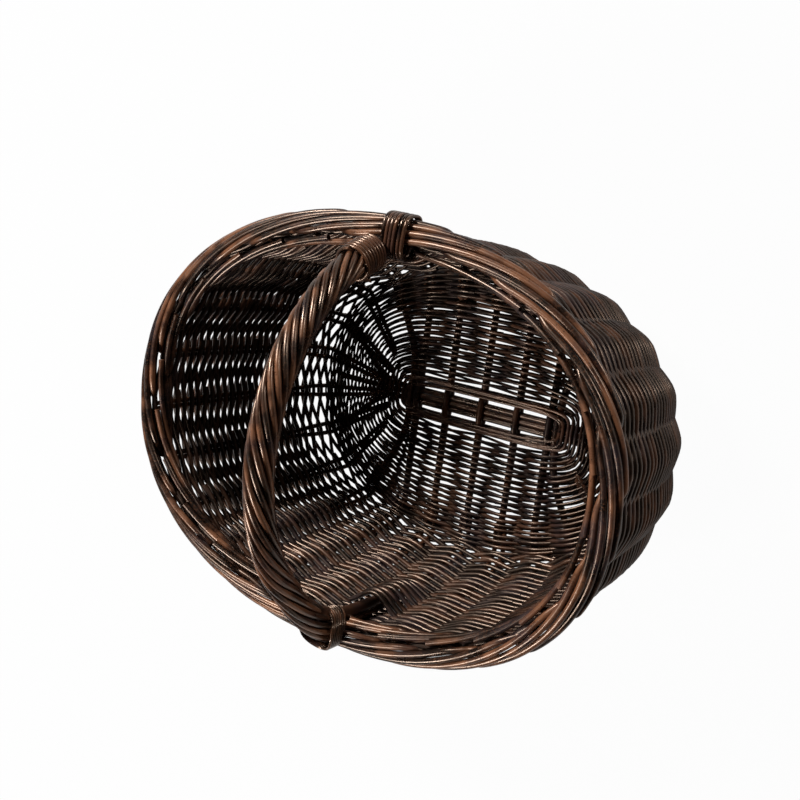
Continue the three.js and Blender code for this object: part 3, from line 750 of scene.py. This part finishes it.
def row_ripples(chance):
    """Slow ups and downs of each row, which follow those of the row below."""
    waves = np.arange(*RIPPLE_WAVES)
    ripples = []
    size = np.zeros((len(waves), 2))
    for row in range(WALL_ROWS):
        size = RIPPLE_KEPT * size + RIPPLE_NEW * chance.normal(size=(len(waves), 2))
        ripples.append(size.copy())
    return waves, ripples


def weave_wall(rods, rows, chance, waves, ripples):
    """Lays the weavers of some rows, one after the other round the wall, from butt to tip."""
    for row in rows:
        height = ROW_HEIGHTS[row]
        looseness = mix(FOOT_LOOSENESS, WALL_LOOSENESS, min(1.0, row / UPSETT_ROWS))
        start = int(chance.integers(0, PAIRS))
        start += (start + row + 1) % 2
        finish = start + PAIRS
        while start < finish:
            span = 2 * int(chance.integers(*WEAVER_SPANS))
            if finish - (start + span) < SHORTEST_WEAVER:
                span = finish - start
            count = int((span + 2 * ROW_LAP) * ROW_POINTS)
            position = np.linspace(start - ROW_LAP, start + span + ROW_LAP, count)
            turn = position[:, None] / PAIRS * 2 * math.pi * waves
            ripple = np.cos(turn) @ ripples[row][:, 0] + np.sin(turn) @ ripples[row][:, 1]
            leaving = 1 - smooth(start - ROW_LAP, start + BUTT_FADE, position)
            ending = smooth(start + span - TIP_FADE, start + span + ROW_LAP, position)
            place = np.mod(position + 0.5, PAIRS)
            out = weave_out(place, row, height) - BUTT_INSET * leaving - TIP_INSET * ending
            up = looseness * ripple - BUTT_DROP * leaving + TIP_LIFT * ending
            points = wall_points(place, height + up, out)
            butt = WEAVER_BUTT * chance.uniform(*WEAVER_RANGE)
            radius = mix(butt, WEAVER_TIP, np.linspace(0, 1, count)**WEAVER_TAPER)
            looser = 1 - smooth(0, LOOSE_HEIGHT, height)
            rods.add(points, radius * mix(1, loose_end(points[:, 0]), looser), chance.uniform(0, 1))
            start += span


def make_wall():
    chance = np.random.default_rng(11)
    waves, ripples = row_ripples(chance)
    bands = (
        ("upsett_weave_rods", range(0, UPSETT_ROWS), "upsett_weave"),
        ("side_weave_rods", range(UPSETT_ROWS, WALL_ROWS), "side_weave"),
    )
    for name, rows, node in bands:
        rods = Rods()
        weave_wall(rods, rows, chance, waves, ripples)
        make_rods(rods, name, weave_willow, [node], seed=2.0, sides=8, wobble=0.0007)


# Border. Each rod leaves its stake, slides outwards over the top past three more stakes, dives under
# the border between two stakes and follows the inner edge to its cut end. Its course is given as the
# way travelled in bays, and places outwards and upwards as shares of BORDER_ARC.

HALF_STEP = math.radians(BORDER_STEP_ANGLE / 2)
BORDER_ARC = (2 * BORDER_ROD_RADIUS + BORDER_ROD_GAP) / (2 * math.sin(HALF_STEP))
ARC_CENTRE_OUT = 0.18
ARC_CENTRE_UP = -0.45
ARC_START = 128
ARC_FIRST = 0.5
ARC_LAST = 4.0
TURN_OVER = [(0, 0, -0.35), (0.13, -0.08, -0.02), (0.28, -0.16, 0.24)]
DIVE = [(4.16, 1.0, -0.62), (4.27, 0.55, -0.90), (4.47, -0.42, -0.82), (4.62, -0.95, -0.62)]
FOLLOW_ANGLES = (190, 134)
FOLLOW_OUT = 0.05
FOLLOW_UP = -0.42
FOLLOW_WIDTH = 1.12


def on_arc(travel):
    angle = math.radians(ARC_START - BORDER_STEP_ANGLE * travel)
    return travel, ARC_CENTRE_OUT + math.cos(angle), ARC_CENTRE_UP + math.sin(angle)


def on_follow(travel):
    part = (travel - FOLLOW_START) / (FOLLOW_END - FOLLOW_START)
    angle = math.radians(mix(*FOLLOW_ANGLES, part))
    return travel, FOLLOW_OUT + FOLLOW_WIDTH * math.cos(angle), FOLLOW_UP + math.sin(angle)


def follow_end(stake):
    end = FOLLOW_END
    for place in HANDLE_PLACES:
        travel = (stake - place + PAIRS) % PAIRS
        if FOLLOW_START < travel < FOLLOW_END + HANDLE_ROOM:
            end = min(end, travel - HANDLE_ROOM)
    return end


def border_run(stake):
    over = (on_arc(travel) for travel in np.linspace(ARC_FIRST, ARC_LAST, 9))
    end = max(follow_end(stake), FOLLOW_START + SHORTEST_FOLLOW)
    follow = (on_follow(travel) for travel in np.linspace(FOLLOW_START, end, 5))
    travel, out, up = np.array([*TURN_OVER, *over, *DIVE, *follow]).T
    return border_points(stake - travel, out * BORDER_ARC, up * BORDER_ARC)


# Stake pairs: one rod doubled back on itself in the base, with a short and a long leg.

FLOOR_HALF_LENGTH, FLOOR_HALF_WIDTH = (float(half) for half in wall_half(WALL_BOTTOM))
INNER_HALF_LENGTH = STICK_HALF_LENGTH + HAIRPIN_ROOM
INNER_HALF_WIDTH = STICK_HALF_WIDTH + HAIRPIN_ROOM
BEND_OUT = -0.002
SPINE_FOLLOW = 0.8
HALVINGS = 24
FOOT_MIDDLE = 0.6


def slath_half_width(x):
    left = 1 - min(1.0, abs(x / INNER_HALF_LENGTH)) ** SLATH_CORNER_POWER
    return INNER_HALF_WIDTH * left ** (1 / SLATH_CORNER_POWER)


def foot_bend(place):
    return oval_points(place, FLOOR_HALF_LENGTH, FLOOR_HALF_WIDTH, BEND_OUT, STICK_HEIGHT)


def hairpin_point(place, depth):
    """Where a stake meets the ends of the base sticks, or a depth further in between them."""
    outer = foot_bend(place)
    spine_x = min(max(outer[0] * SPINE_FOLLOW, -2 * CROSS_PITCH), 2 * CROSS_PITCH)
    spine = np.array([spine_x, 0, STICK_HEIGHT])
    inside, outside = 0.0, 1.0
    for _ in range(HALVINGS):
        middle = (inside + outside) / 2
        point = mix(spine, outer, middle)
        if abs(point[0]) < INNER_HALF_LENGTH and abs(point[1]) < slath_half_width(point[0]):
            inside = middle
        else:
            outside = middle
    direction = (outer - spine) / np.linalg.norm(outer - spine)
    return mix(spine, outer, outside) - direction * depth


LEG_HEIGHTS = np.array([0.0106, 0.0145, 0.020, 0.029, 0.040, 0.055, 0.075, 0.100, 0.130, 0.160, 0.182])


def leg(pair, side):
    return wall_points(leg_place(pair, side, LEG_HEIGHTS), LEG_HEIGHTS, 0.0)


def stake_rod(pair):
    """Courses of the doubled stem, from the short leg round the hairpin to the long leg, and the border."""
    def foot(side):
        place = float(leg_place(pair, side, WALL_BOTTOM))
        outer = foot_bend(place)
        inner = hairpin_point(place, 0)
        return [inner, mix(inner, outer, FOOT_MIDDLE), outer]

    short_top = border_points(float(leg_place(pair, 1, RIM_HEIGHT)), 0.0, ARC_CENTRE_UP * BORDER_ARC)
    short_leg = [short_top, *leg(pair, 1)[::-1]]
    turn = hairpin_point(pair + 0.5, HAIRPIN_DEPTH)
    stem = [*short_leg, *foot(1)[::-1], turn, *foot(-1), *leg(pair, -1)]
    return stem, border_run(float(leg_place(pair, -1, RIM_HEIGHT)))


def make_stakes():
    chance = np.random.default_rng(5)
    rods = Rods()
    for pair in range(PAIRS):
        stem, run = stake_rod(pair)
        line = through([*stem, *run], LINE_STEPS)
        part = np.linspace(0, 1, len(line))
        wall_part = len(stem) / (len(stem) + len(run))
        swollen = smooth(wall_part, wall_part + SWELL_SHARE, part)
        tip = smooth(wall_part + TAPER_SHARE, 1.0, part)
        radius = mix(STAKE_RADIUS, BORDER_ROD_RADIUS * chance.uniform(*BORDER_ROD_RANGE), swollen)
        rods.add(line, radius * mix(1, BORDER_TIP_SHARE, tip), chance.uniform(0, 1))
    nodes = [f"stake_pair_{pair + 1:02d}" for pair in range(PAIRS)]
    make_rods(
        rods, "stakes_and_border", border_willow, nodes, seed=3.0, sides=8, wobble=0.0007
    )


# Base: cross sticks split over three lengthwise sticks, bound together and woven round. The sticks are
# given as their middle place and how far they lean aside at the edge of the base.

END_PAIR = CROSS_RADIUS + CLEARANCE
SIDE_STICKS = [
    (-2 * CROSS_PITCH - END_PAIR, -0.030),
    (-2 * CROSS_PITCH + END_PAIR, 0.0),
    (-CROSS_PITCH, 0.0),
    (0.0, 0.0),
    (CROSS_PITCH, 0.0),
    (2 * CROSS_PITCH - END_PAIR, 0.0),
    (2 * CROSS_PITCH + END_PAIR, 0.030),
]
END_STICKS = [(-LONG_PITCH, -0.046), (0.0, 0.0), (LONG_PITCH, 0.046)]
STICK_TONES = (0.3, 1)
CROSS_LEVELS = np.linspace(0.0, 0.86, 8)
LONG_LEVELS = np.linspace(0.0, 0.8, 6)
SPLIT_RISE = SPLIT_HALF_HEIGHT - SPLIT_RADIUS
SPLIT_SIDE = [(-0.0175, 0.0008), (-0.012, SPLIT_RISE * 0.72), (-0.007, SPLIT_RISE)]
SPLIT_CURVE = [*SPLIT_SIDE, *((-across, up) for across, up in reversed(SPLIT_SIDE))]


def ring_shape(level):
    """Half sizes and corner power of a round of the base weave, from the binding to the foot."""
    half_length = mix(BINDING_HALF_LENGTH + FIRST_ROUND_ROOM, BASE_OUTER[0], level)
    half_width = mix(BINDING_HALF_WIDTH + FIRST_ROUND_ROOM, BASE_OUTER[1], level)
    return half_length, half_width, mix(BINDING_POWER, OVAL_POWER, max(0.0, level) ** 0.5)


def ring_reach(across, half_along, half_across, power):
    """How far out a round of the weave lies, at a distance across from its middle line."""
    left = 1 - min(1.0, abs(across / half_across)) ** power
    return half_along * left ** (1 / power)


def stick_places(level):
    """Where the sticks pass a round of the weave. Doubled and touching sticks count as one at first."""
    half_length, half_width, power = ring_shape(level)
    spread = smooth(0.0, 1.0, level)
    sides = SIDE_STICKS
    ends = END_STICKS
    if level < SINGLES_LEVEL:
        sides = SIDE_STICKS[1:-1]
        ends = END_STICKS[1:2]
    places = []
    for x, lean in sides:
        at = x + lean * spread
        reach = ring_reach(at, half_width, half_length, power)
        places += [(at, reach), (at, -reach)]
    for y, lean in ends:
        at = y + lean * spread
        reach = ring_reach(at, half_length, half_width, power)
        places += [(reach, at), (-reach, at)]
    return places


def pair_places(level):
    """Where the stake pairs pass an outer round of the weave."""
    half_length, half_width, power = ring_shape(level)
    places = []
    for pair in range(PAIRS):
        bend = foot_bend(pair + 0.5)
        angle = math.atan2(bend[1] / FLOOR_HALF_WIDTH, bend[0] / FLOOR_HALF_LENGTH)
        unit_x, unit_y = math.cos(angle), math.sin(angle)
        size = (abs(unit_x) ** power + abs(unit_y) ** power) ** (-1 / power)
        places.append((half_length * unit_x * size, half_width * unit_y * size))
    return places


def ring_line(half_length, half_width, power):
    unit_x, unit_y = oval_unit(np.linspace(0, 2 * math.pi, RING_SAMPLES), power)
    line = np.stack([half_length * unit_x, half_width * unit_y], axis=1)
    lengths = np.concatenate([[0], np.cumsum(np.linalg.norm(np.diff(line, axis=0), axis=1))])
    return line, lengths


def loose_end(x):
    """The rods are thinner, and the gaps wider, at the -X end of the base and the foot of its wall."""
    return 1 - LOOSE_SHARE * smooth(-LOOSE_START, -LOOSE_FULL, x)


def base_round(rods, row, level, chance):
    """Lays the rods of one round, which change sides at the sticks and, further out, at the stakes."""
    half_length, half_width, power = ring_shape(level)
    line, lengths = ring_line(half_length, half_width, power)
    over_sticks = level < STAKES_LEVEL
    crossings = stick_places(level) if over_sticks else pair_places(level)
    nearest = [np.argmin(np.hypot(line[:, 0] - x, line[:, 1] - y)) for x, y in crossings]
    stops = np.sort(lengths[nearest])
    girth = lengths[-1]
    lift = BASE_LIFT if over_sticks else OUTER_LIFT
    count = len(stops)
    start = int(chance.integers(0, count))
    finish = start + count
    while start < finish:
        span = min(int(chance.integers(*BASE_SPANS)), finish - start)
        steps = int((span + 2 * BASE_LAP) * BASE_POINTS)
        position = np.linspace(start - BASE_LAP, start + span + BASE_LAP, steps)
        whole = np.floor(position).astype(int)
        near = stops[whole % count] + girth * (whole // count)
        far = stops[(whole + 1) % count] + girth * ((whole + 1) // count)
        along = np.mod(mix(near, far, position - whole), girth)
        x = np.interp(along, lengths, line[:, 0])
        y = np.interp(along, lengths, line[:, 1])
        wander = BASE_SWAY * np.sin(position * 1.7 + 9 * chance.uniform())
        outwards = np.stack([x / half_length**2, y / half_width**2], axis=1)
        outwards /= np.linalg.norm(outwards, axis=1)[:, None]
        z = STICK_HEIGHT + lift * over_and_under(position, row)
        points = np.column_stack([x + wander * outwards[:, 0], y + wander * outwards[:, 1], z])
        outer = mix(1, OUTER_THICKNESS, smooth(*OUTER_LEVELS, level))
        thick = BASE_ROD_RADIUS * outer * chance.uniform(*BASE_ROD_RANGE)
        radius = thick * np.linspace(*BASE_ROD_TAPER, steps) * loose_end(x)
        rods.add(points, radius, chance.uniform(0, 1))
        start += span


def make_base_weave():
    chance = np.random.default_rng(23)
    rods = Rods()
    for row in range(BASE_ROWS):
        level = (row + BASE_ROW_SHIFT * chance.uniform(-1, 1)) / (BASE_ROWS - 1)
        base_round(rods, row, level, chance)
    nodes = ["base_weave_lower", "base_weave_upper"]
    make_rods(rods, "base_rows", weave_willow, nodes, seed=4.0, wobble=0.0016)


def stick_end(middle, lean, side, levels, lengthwise):
    """Points of one end of a stick, from the binding outwards."""
    points = []
    for level in levels:
        half_length, half_width, power = ring_shape(level)
        at = middle + lean * smooth(0.0, 1.0, level)
        if lengthwise:
            points.append((side * ring_reach(at, half_length, half_width, power), at, STICK_HEIGHT))
        else:
            points.append((at, side * ring_reach(at, half_width, half_length, power), STICK_HEIGHT))
    return points


def make_sticks():
    chance = np.random.default_rng(31)
    rods = Rods()
    for x, lean in SIDE_STICKS:
        tone = chance.uniform(*STICK_TONES)
        for side in (-1, 1):
            start = (x, side * CROSS_START, STICK_HEIGHT)
            line = through([start, *stick_end(x, lean, side, CROSS_LEVELS, False)], STICK_STEPS)
            rods.add(line, np.linspace(CROSS_RADIUS, CROSS_RADIUS * CROSS_TAPER, len(line)), tone)
        for up in (-1, 1):
            line = through([(x, y, STICK_HEIGHT + up * z) for y, z in SPLIT_CURVE], STICK_STEPS)
            rods.add(line, SPLIT_RADIUS, tone)
    nodes = [f"base_cross_stick_{number}" for number in range(1, 8)]
    make_rods(rods, "base_cross_sticks", stick_willow, nodes, seed=5.0, sides=10)

    rods = Rods()
    for y, lean in END_STICKS:
        left = stick_end(y, lean, -1, LONG_LEVELS, True)
        right = stick_end(y, lean, 1, LONG_LEVELS, True)
        rods.add(through([*left[::-1], *right], LINE_STEPS), LONG_RADIUS, chance.uniform(*STICK_TONES))
    nodes = [f"base_long_stick_{number}" for number in range(1, 4)]
    make_rods(rods, "base_long_sticks", stick_willow, nodes, seed=6.0, sides=10)


def make_bindings():
    chance = np.random.default_rng(37)
    angles = np.linspace(0, 2 * math.pi, 181)
    unit_x, unit_y = oval_unit(angles, BINDING_POWER)
    for name, up in (("base_binding_upper", 1), ("base_binding_lower", -1)):
        rods = Rods()
        for number in range(BINDING_ROUNDS):
            room = -number * BINDING_PITCH + BINDING_SWAY * np.cos(2 * angles + 2.1 * number)
            x = (BINDING_HALF_LENGTH + room) * unit_x
            y = (BINDING_HALF_WIDTH + room) * unit_y
            rise = CROSS_RADIUS + BINDING_RISE + BINDING_WAVE * np.cos(angles * 5 + number)
            points = np.stack([x, y, STICK_HEIGHT + up * rise], axis=1)
            rods.add(points, BASE_ROD_RADIUS, chance.uniform(0.6, 1))
        make_rods(
            rods, name + "_rods", stick_willow, [name], seed=7.0, sides=8, wobble=0.0010
        )


def make_wale():
    chance = np.random.default_rng(41)
    rods = Rods()
    half_length, half_width = (float(half) for half in wall_half(WALE_OUTLINE_HEIGHT))
    place = np.linspace(0, PAIRS, PAIRS * WALE_POINTS + 1)
    for strand in range(2):
        phase = math.pi * (place + strand)
        out = WALE_SWING * np.sin(phase)
        height = WALE_HEIGHT + WALE_SWING * np.cos(phase)
        points = oval_points(place, half_length, half_width, out, height)
        rods.add(points, WALE_RADIUS, chance.uniform(0, 1))
    make_rods(rods, "foot_wale_rods", weave_willow, ["foot_wale"], seed=8.0, wobble=0.0)


# Handle


def arch_point(angle):
    y = HANDLE_HALF_SPAN * math.cos(angle)
    return np.array([0.0, y, HANDLE_SPRING + HANDLE_RISE * math.sin(angle)])


def bow_radius(height):
    tip = smooth(BOW_TIP_HEIGHT, HANDLE_SPRING, height)
    neck = smooth(RIM_HEIGHT + NECK_START, RIM_HEIGHT + NECK_END, height)
    return mix(mix(BOW_TIP_RADIUS, BOW_NECK_RADIUS, tip), BOW_RADIUS, neck)


def bow_end(side, height):
    y = wall_half(height)[1] - STAKE_RADIUS - BOW_SLACK - CLEARANCE - bow_radius(height)
    return np.array([0.0, side * float(y), height])


def make_bow():
    ends = [BOW_TIP_HEIGHT, BOW_TIP_HEIGHT + 0.02, (BOW_TIP_HEIGHT + HANDLE_SPRING) / 2]
    controls = [bow_end(1, height) for height in ends]
    controls += [arch_point(angle) for angle in np.linspace(0, math.pi, 25)]
    controls += [bow_end(-1, height) for height in reversed(ends)]
    line = through(controls, LINE_STEPS)
    rods = Rods()
    rods.add(line, bow_radius(line[:, 2]), 0.7)
    make_rods(rods, "handle_bow_rod", weave_willow, ["handle_bow"], seed=9.0, sides=14)


ARCH_ANGLES = np.linspace(0, math.pi, ARCH_SAMPLES)
ARCH_POINTS = np.array([arch_point(angle) for angle in ARCH_ANGLES])
ARCH_LENGTHS = np.concatenate([[0], np.cumsum(np.linalg.norm(np.diff(ARCH_POINTS, axis=0), axis=1))])
ARCH_LENGTH = ARCH_LENGTHS[-1]
HALF_ARCH = ARCH_SAMPLES // 2
ROPE_START = float(np.interp(ROPE_FOOT, ARCH_POINTS[:HALF_ARCH, 2], ARCH_LENGTHS[:HALF_ARCH]))


def round_arch(length, radius, turn, shift=0.0):
    """Points at distances along the arch and angles round it, with the arch moved towards -Y."""
    angle = np.interp(length, ARCH_LENGTHS, ARCH_ANGLES)
    across = HANDLE_RISE * np.cos(angle)
    up = HANDLE_HALF_SPAN * np.sin(angle)
    size = np.hypot(across, up)
    x = radius * np.sin(turn)
    y = HANDLE_HALF_SPAN * np.cos(angle) + radius * np.cos(turn) * across / size - shift
    z = HANDLE_SPRING + HANDLE_RISE * np.sin(angle) + radius * np.cos(turn) * up / size
    return np.stack(np.broadcast_arrays(x, y, z), axis=-1)


def rope_turns(length):
    """Turns made so far: the roping is twisted tighter towards the back of the handle."""
    back = 1 / ROPE_BACK_PITCH
    front = 1 / ROPE_FRONT_PITCH
    return back * length + (front - back) * length**2 / (2 * ARCH_LENGTH)


def make_rope():
    chance = np.random.default_rng(47)
    rods = Rods()
    finish = ARCH_LENGTH - ROPE_START + ROPE_OVERRUN
    length = np.linspace(ROPE_START, finish, ROPE_POINTS)
    shift = SWEEP_OUT * smooth(finish - SWEEP_LENGTH, finish, length)
    for number in range(ROPE_RODS):
        turn = 2 * math.pi * (number / ROPE_RODS + rope_turns(length) + ROPE_PHASE)
        thick = mix(ROPE_BACK_RADIUS, ROPE_FRONT_RADIUS, length / ARCH_LENGTH) * chance.uniform(*ROPE_RANGE)
        radius = ROPE_CENTRE - ROPE_SINK + thick.mean() * ROPE_SEAT
        rods.add(round_arch(length, radius, turn, shift), thick, chance.uniform(0.2, 1))
    nodes = [f"handle_rope_rod_{number}" for number in range(1, ROPE_RODS + 1)]
    make_rods(
        rods, "handle_roping", handle_willow, nodes, seed=10.0, sides=10, wobble=0.0016
    )


# Cane


def make_cane(rods, name, seed, sides, wobble):
    make_rods(
        rods, name + "_cane", cane_skin, [name], seed=seed, sides=sides, wobble=wobble
    )


def make_back_wrap():
    rods = Rods()
    turns = np.linspace(0, WRAP_TURNS, WRAP_TURNS * 28)
    length = ROPE_START + turns * WRAP_PITCH
    rods.add(round_arch(length, ROPE_CENTRE + WRAP_ROOM, 2 * math.pi * turns), WRAP_RADIUS, 0.9)
    for shift in TAIL_SHIFTS:
        start = np.array([ROPE_START + TAIL_ALONG])
        root = round_arch(start, ROPE_CENTRE + TAIL_ROOM, TAIL_ANGLE + shift * TAIL_SPREAD)[0]
        tip = root + np.array([-0.002 + shift, -0.002, -0.012])
        rods.add(np.array([root, mix(root, tip, 0.5), tip]), TAIL_RADIUS, 1.0)
    make_cane(rods, "handle_wrap_back", seed=12.0, sides=10, wobble=0.0005)


def make_back_lashing():
    """Rings of cane round the border, slightly slanted, that hold the handle's back foot."""
    chance = np.random.default_rng(53)
    rods = Rods()
    top = (ARC_CENTRE_UP + 1) * BORDER_ARC + BORDER_ROD_RADIUS
    bottom = RING_BOTTOM * BORDER_ARC - BORDER_ROD_RADIUS
    half_height = (top - bottom) / 2 + CANE_RADIUS + RING_ROOM
    half_width = RING_HALF_WIDTH * BORDER_ARC + BORDER_ROD_RADIUS + CANE_RADIUS + RING_ROOM
    angles = np.linspace(0, 2 * math.pi, 41)
    for start in RING_STARTS:
        place = HANDLE_PLACES[0] - (start + RING_SLANT * np.sin(angles)) / BAY_PITCH
        out = half_width * signed_power(np.cos(angles), 2 / RING_POWER)
        up = (top + bottom) / 2 + half_height * signed_power(np.sin(angles), 2 / RING_POWER)
        rods.add(border_points(place, out, up), RING_RADIUS, chance.uniform(0.3, 0.9))
    make_cane(rods, "border_lashing_back", seed=13.0, sides=8, wobble=0.0006)


def make_front_lashing():
    """One cane wound round the handle's front foot and the border, sagging at both ends of its rings."""
    rods = Rods()
    turn = np.linspace(0, COLLAR_TURNS, COLLAR_TURNS * 32)
    angles = 2 * math.pi * turn
    x = COLLAR_CENTRE[0] + (COLLAR_HALF_WIDTH + COLLAR_WIDENING * turn) * np.sin(angles)
    y = COLLAR_CENTRE[1] + COLLAR_HALF_DEPTH * np.cos(angles)
    z = COLLAR_BOTTOM + COLLAR_PITCH * turn - COLLAR_SAG * np.cos(2 * angles)
    rods.add(np.stack([x, y, z], axis=1), COLLAR_RADIUS, 0.55)
    make_cane(rods, "border_lashing_front", seed=14.0, sides=10, wobble=0.0005)


# Studio


def make_camera():
    data = bpy.data.cameras.new("Camera")
    data.sensor_fit = "HORIZONTAL"
    data.sensor_width = SENSOR_WIDTH
    data.lens = FOCAL_PIXELS / PICTURE_SIDE * SENSOR_WIDTH
    data.clip_start = CLIP_NEAR
    data.clip_end = CLIP_FAR
    camera = add_object("Camera", data)
    axes = Matrix((CAMERA_RIGHT, CAMERA_UP, CAMERA_BACK)).transposed()
    camera.matrix_world = Matrix.Translation(CAMERA_PLACE) @ axes.to_4x4()
    bpy.context.scene.camera = camera


def make_floor():
    shader = Shader("Pale studio floor")
    surface = shader.node("ShaderNodeBsdfDiffuse", None, {"Color": FLOOR_GREY})
    glow = shader.node("ShaderNodeEmission", None, {"Color": WHITE, "Strength": 1.0})
    rays = shader.node("ShaderNodeLightPath", output="Is Camera Ray")
    glossy = shader.node("ShaderNodeLightPath", output="Is Glossy Ray")
    clear = shader.node("ShaderNodeLightPath", output="Is Transmission Ray")
    seen = rays * FLOOR_SHOWN + glossy * FLOOR_IN_GLOSS + clear * FLOOR_SHOWN
    blend = shader.node("ShaderNodeMixShader", None, {0: seen, 1: surface, 2: glow})
    shader.node("ShaderNodeOutputMaterial", None, {"Surface": blend})
    mesh = bpy.data.meshes.new("Studio floor")
    signs = ((-1, -1), (1, -1), (1, 1), (-1, 1))
    corners = [(x * FLOOR_HALF_SIDE, y * FLOOR_HALF_SIDE, 0) for x, y in signs]
    mesh.from_pydata(corners, [], [(0, 1, 2, 3)])
    mesh.materials.append(shader.material)
    floor = add_object("Studio floor", mesh)
    floor.location = (0, 0, -FLOOR_DROP)


def soft_lamp(name, place, size, power):
    data = bpy.data.lights.new(name, "AREA")
    data.shape = "SQUARE"
    data.size = size
    data.energy = power
    lamp = add_object(name, data)
    lamp.location = place
    aim = Vector(LAMP_TARGET) - Vector(place)
    lamp.rotation_euler = aim.to_track_quat("-Z", "Y").to_euler()


def make_light():
    world = bpy.data.worlds.new("Studio world")
    bpy.context.scene.world = world
    world.use_nodes = True
    nodes = world.node_tree.nodes
    background = nodes["Background"]
    background.inputs["Color"].default_value = WHITE
    rays = nodes.new("ShaderNodeLightPath")
    strength = nodes.new("ShaderNodeMath")
    strength.operation = "MULTIPLY_ADD"
    strength.inputs[1].default_value = WORLD_SHOWN
    strength.inputs[2].default_value = WORLD_LIGHT
    link_nodes(
        world.node_tree,
        [
            (rays.outputs["Is Camera Ray"], strength.inputs[0]),
            (strength.outputs[0], background.inputs["Strength"]),
        ],
    )
    for lamp in LAMPS:
        soft_lamp(*lamp)


make_camera()
make_wall()
make_stakes()
make_base_weave()
make_sticks()
make_bindings()
make_wale()
make_bow()
make_rope()
make_back_wrap()
make_back_lashing()
make_front_lashing()
make_floor()
make_light()
bpy.context.scene.view_settings.view_transform = "Standard"
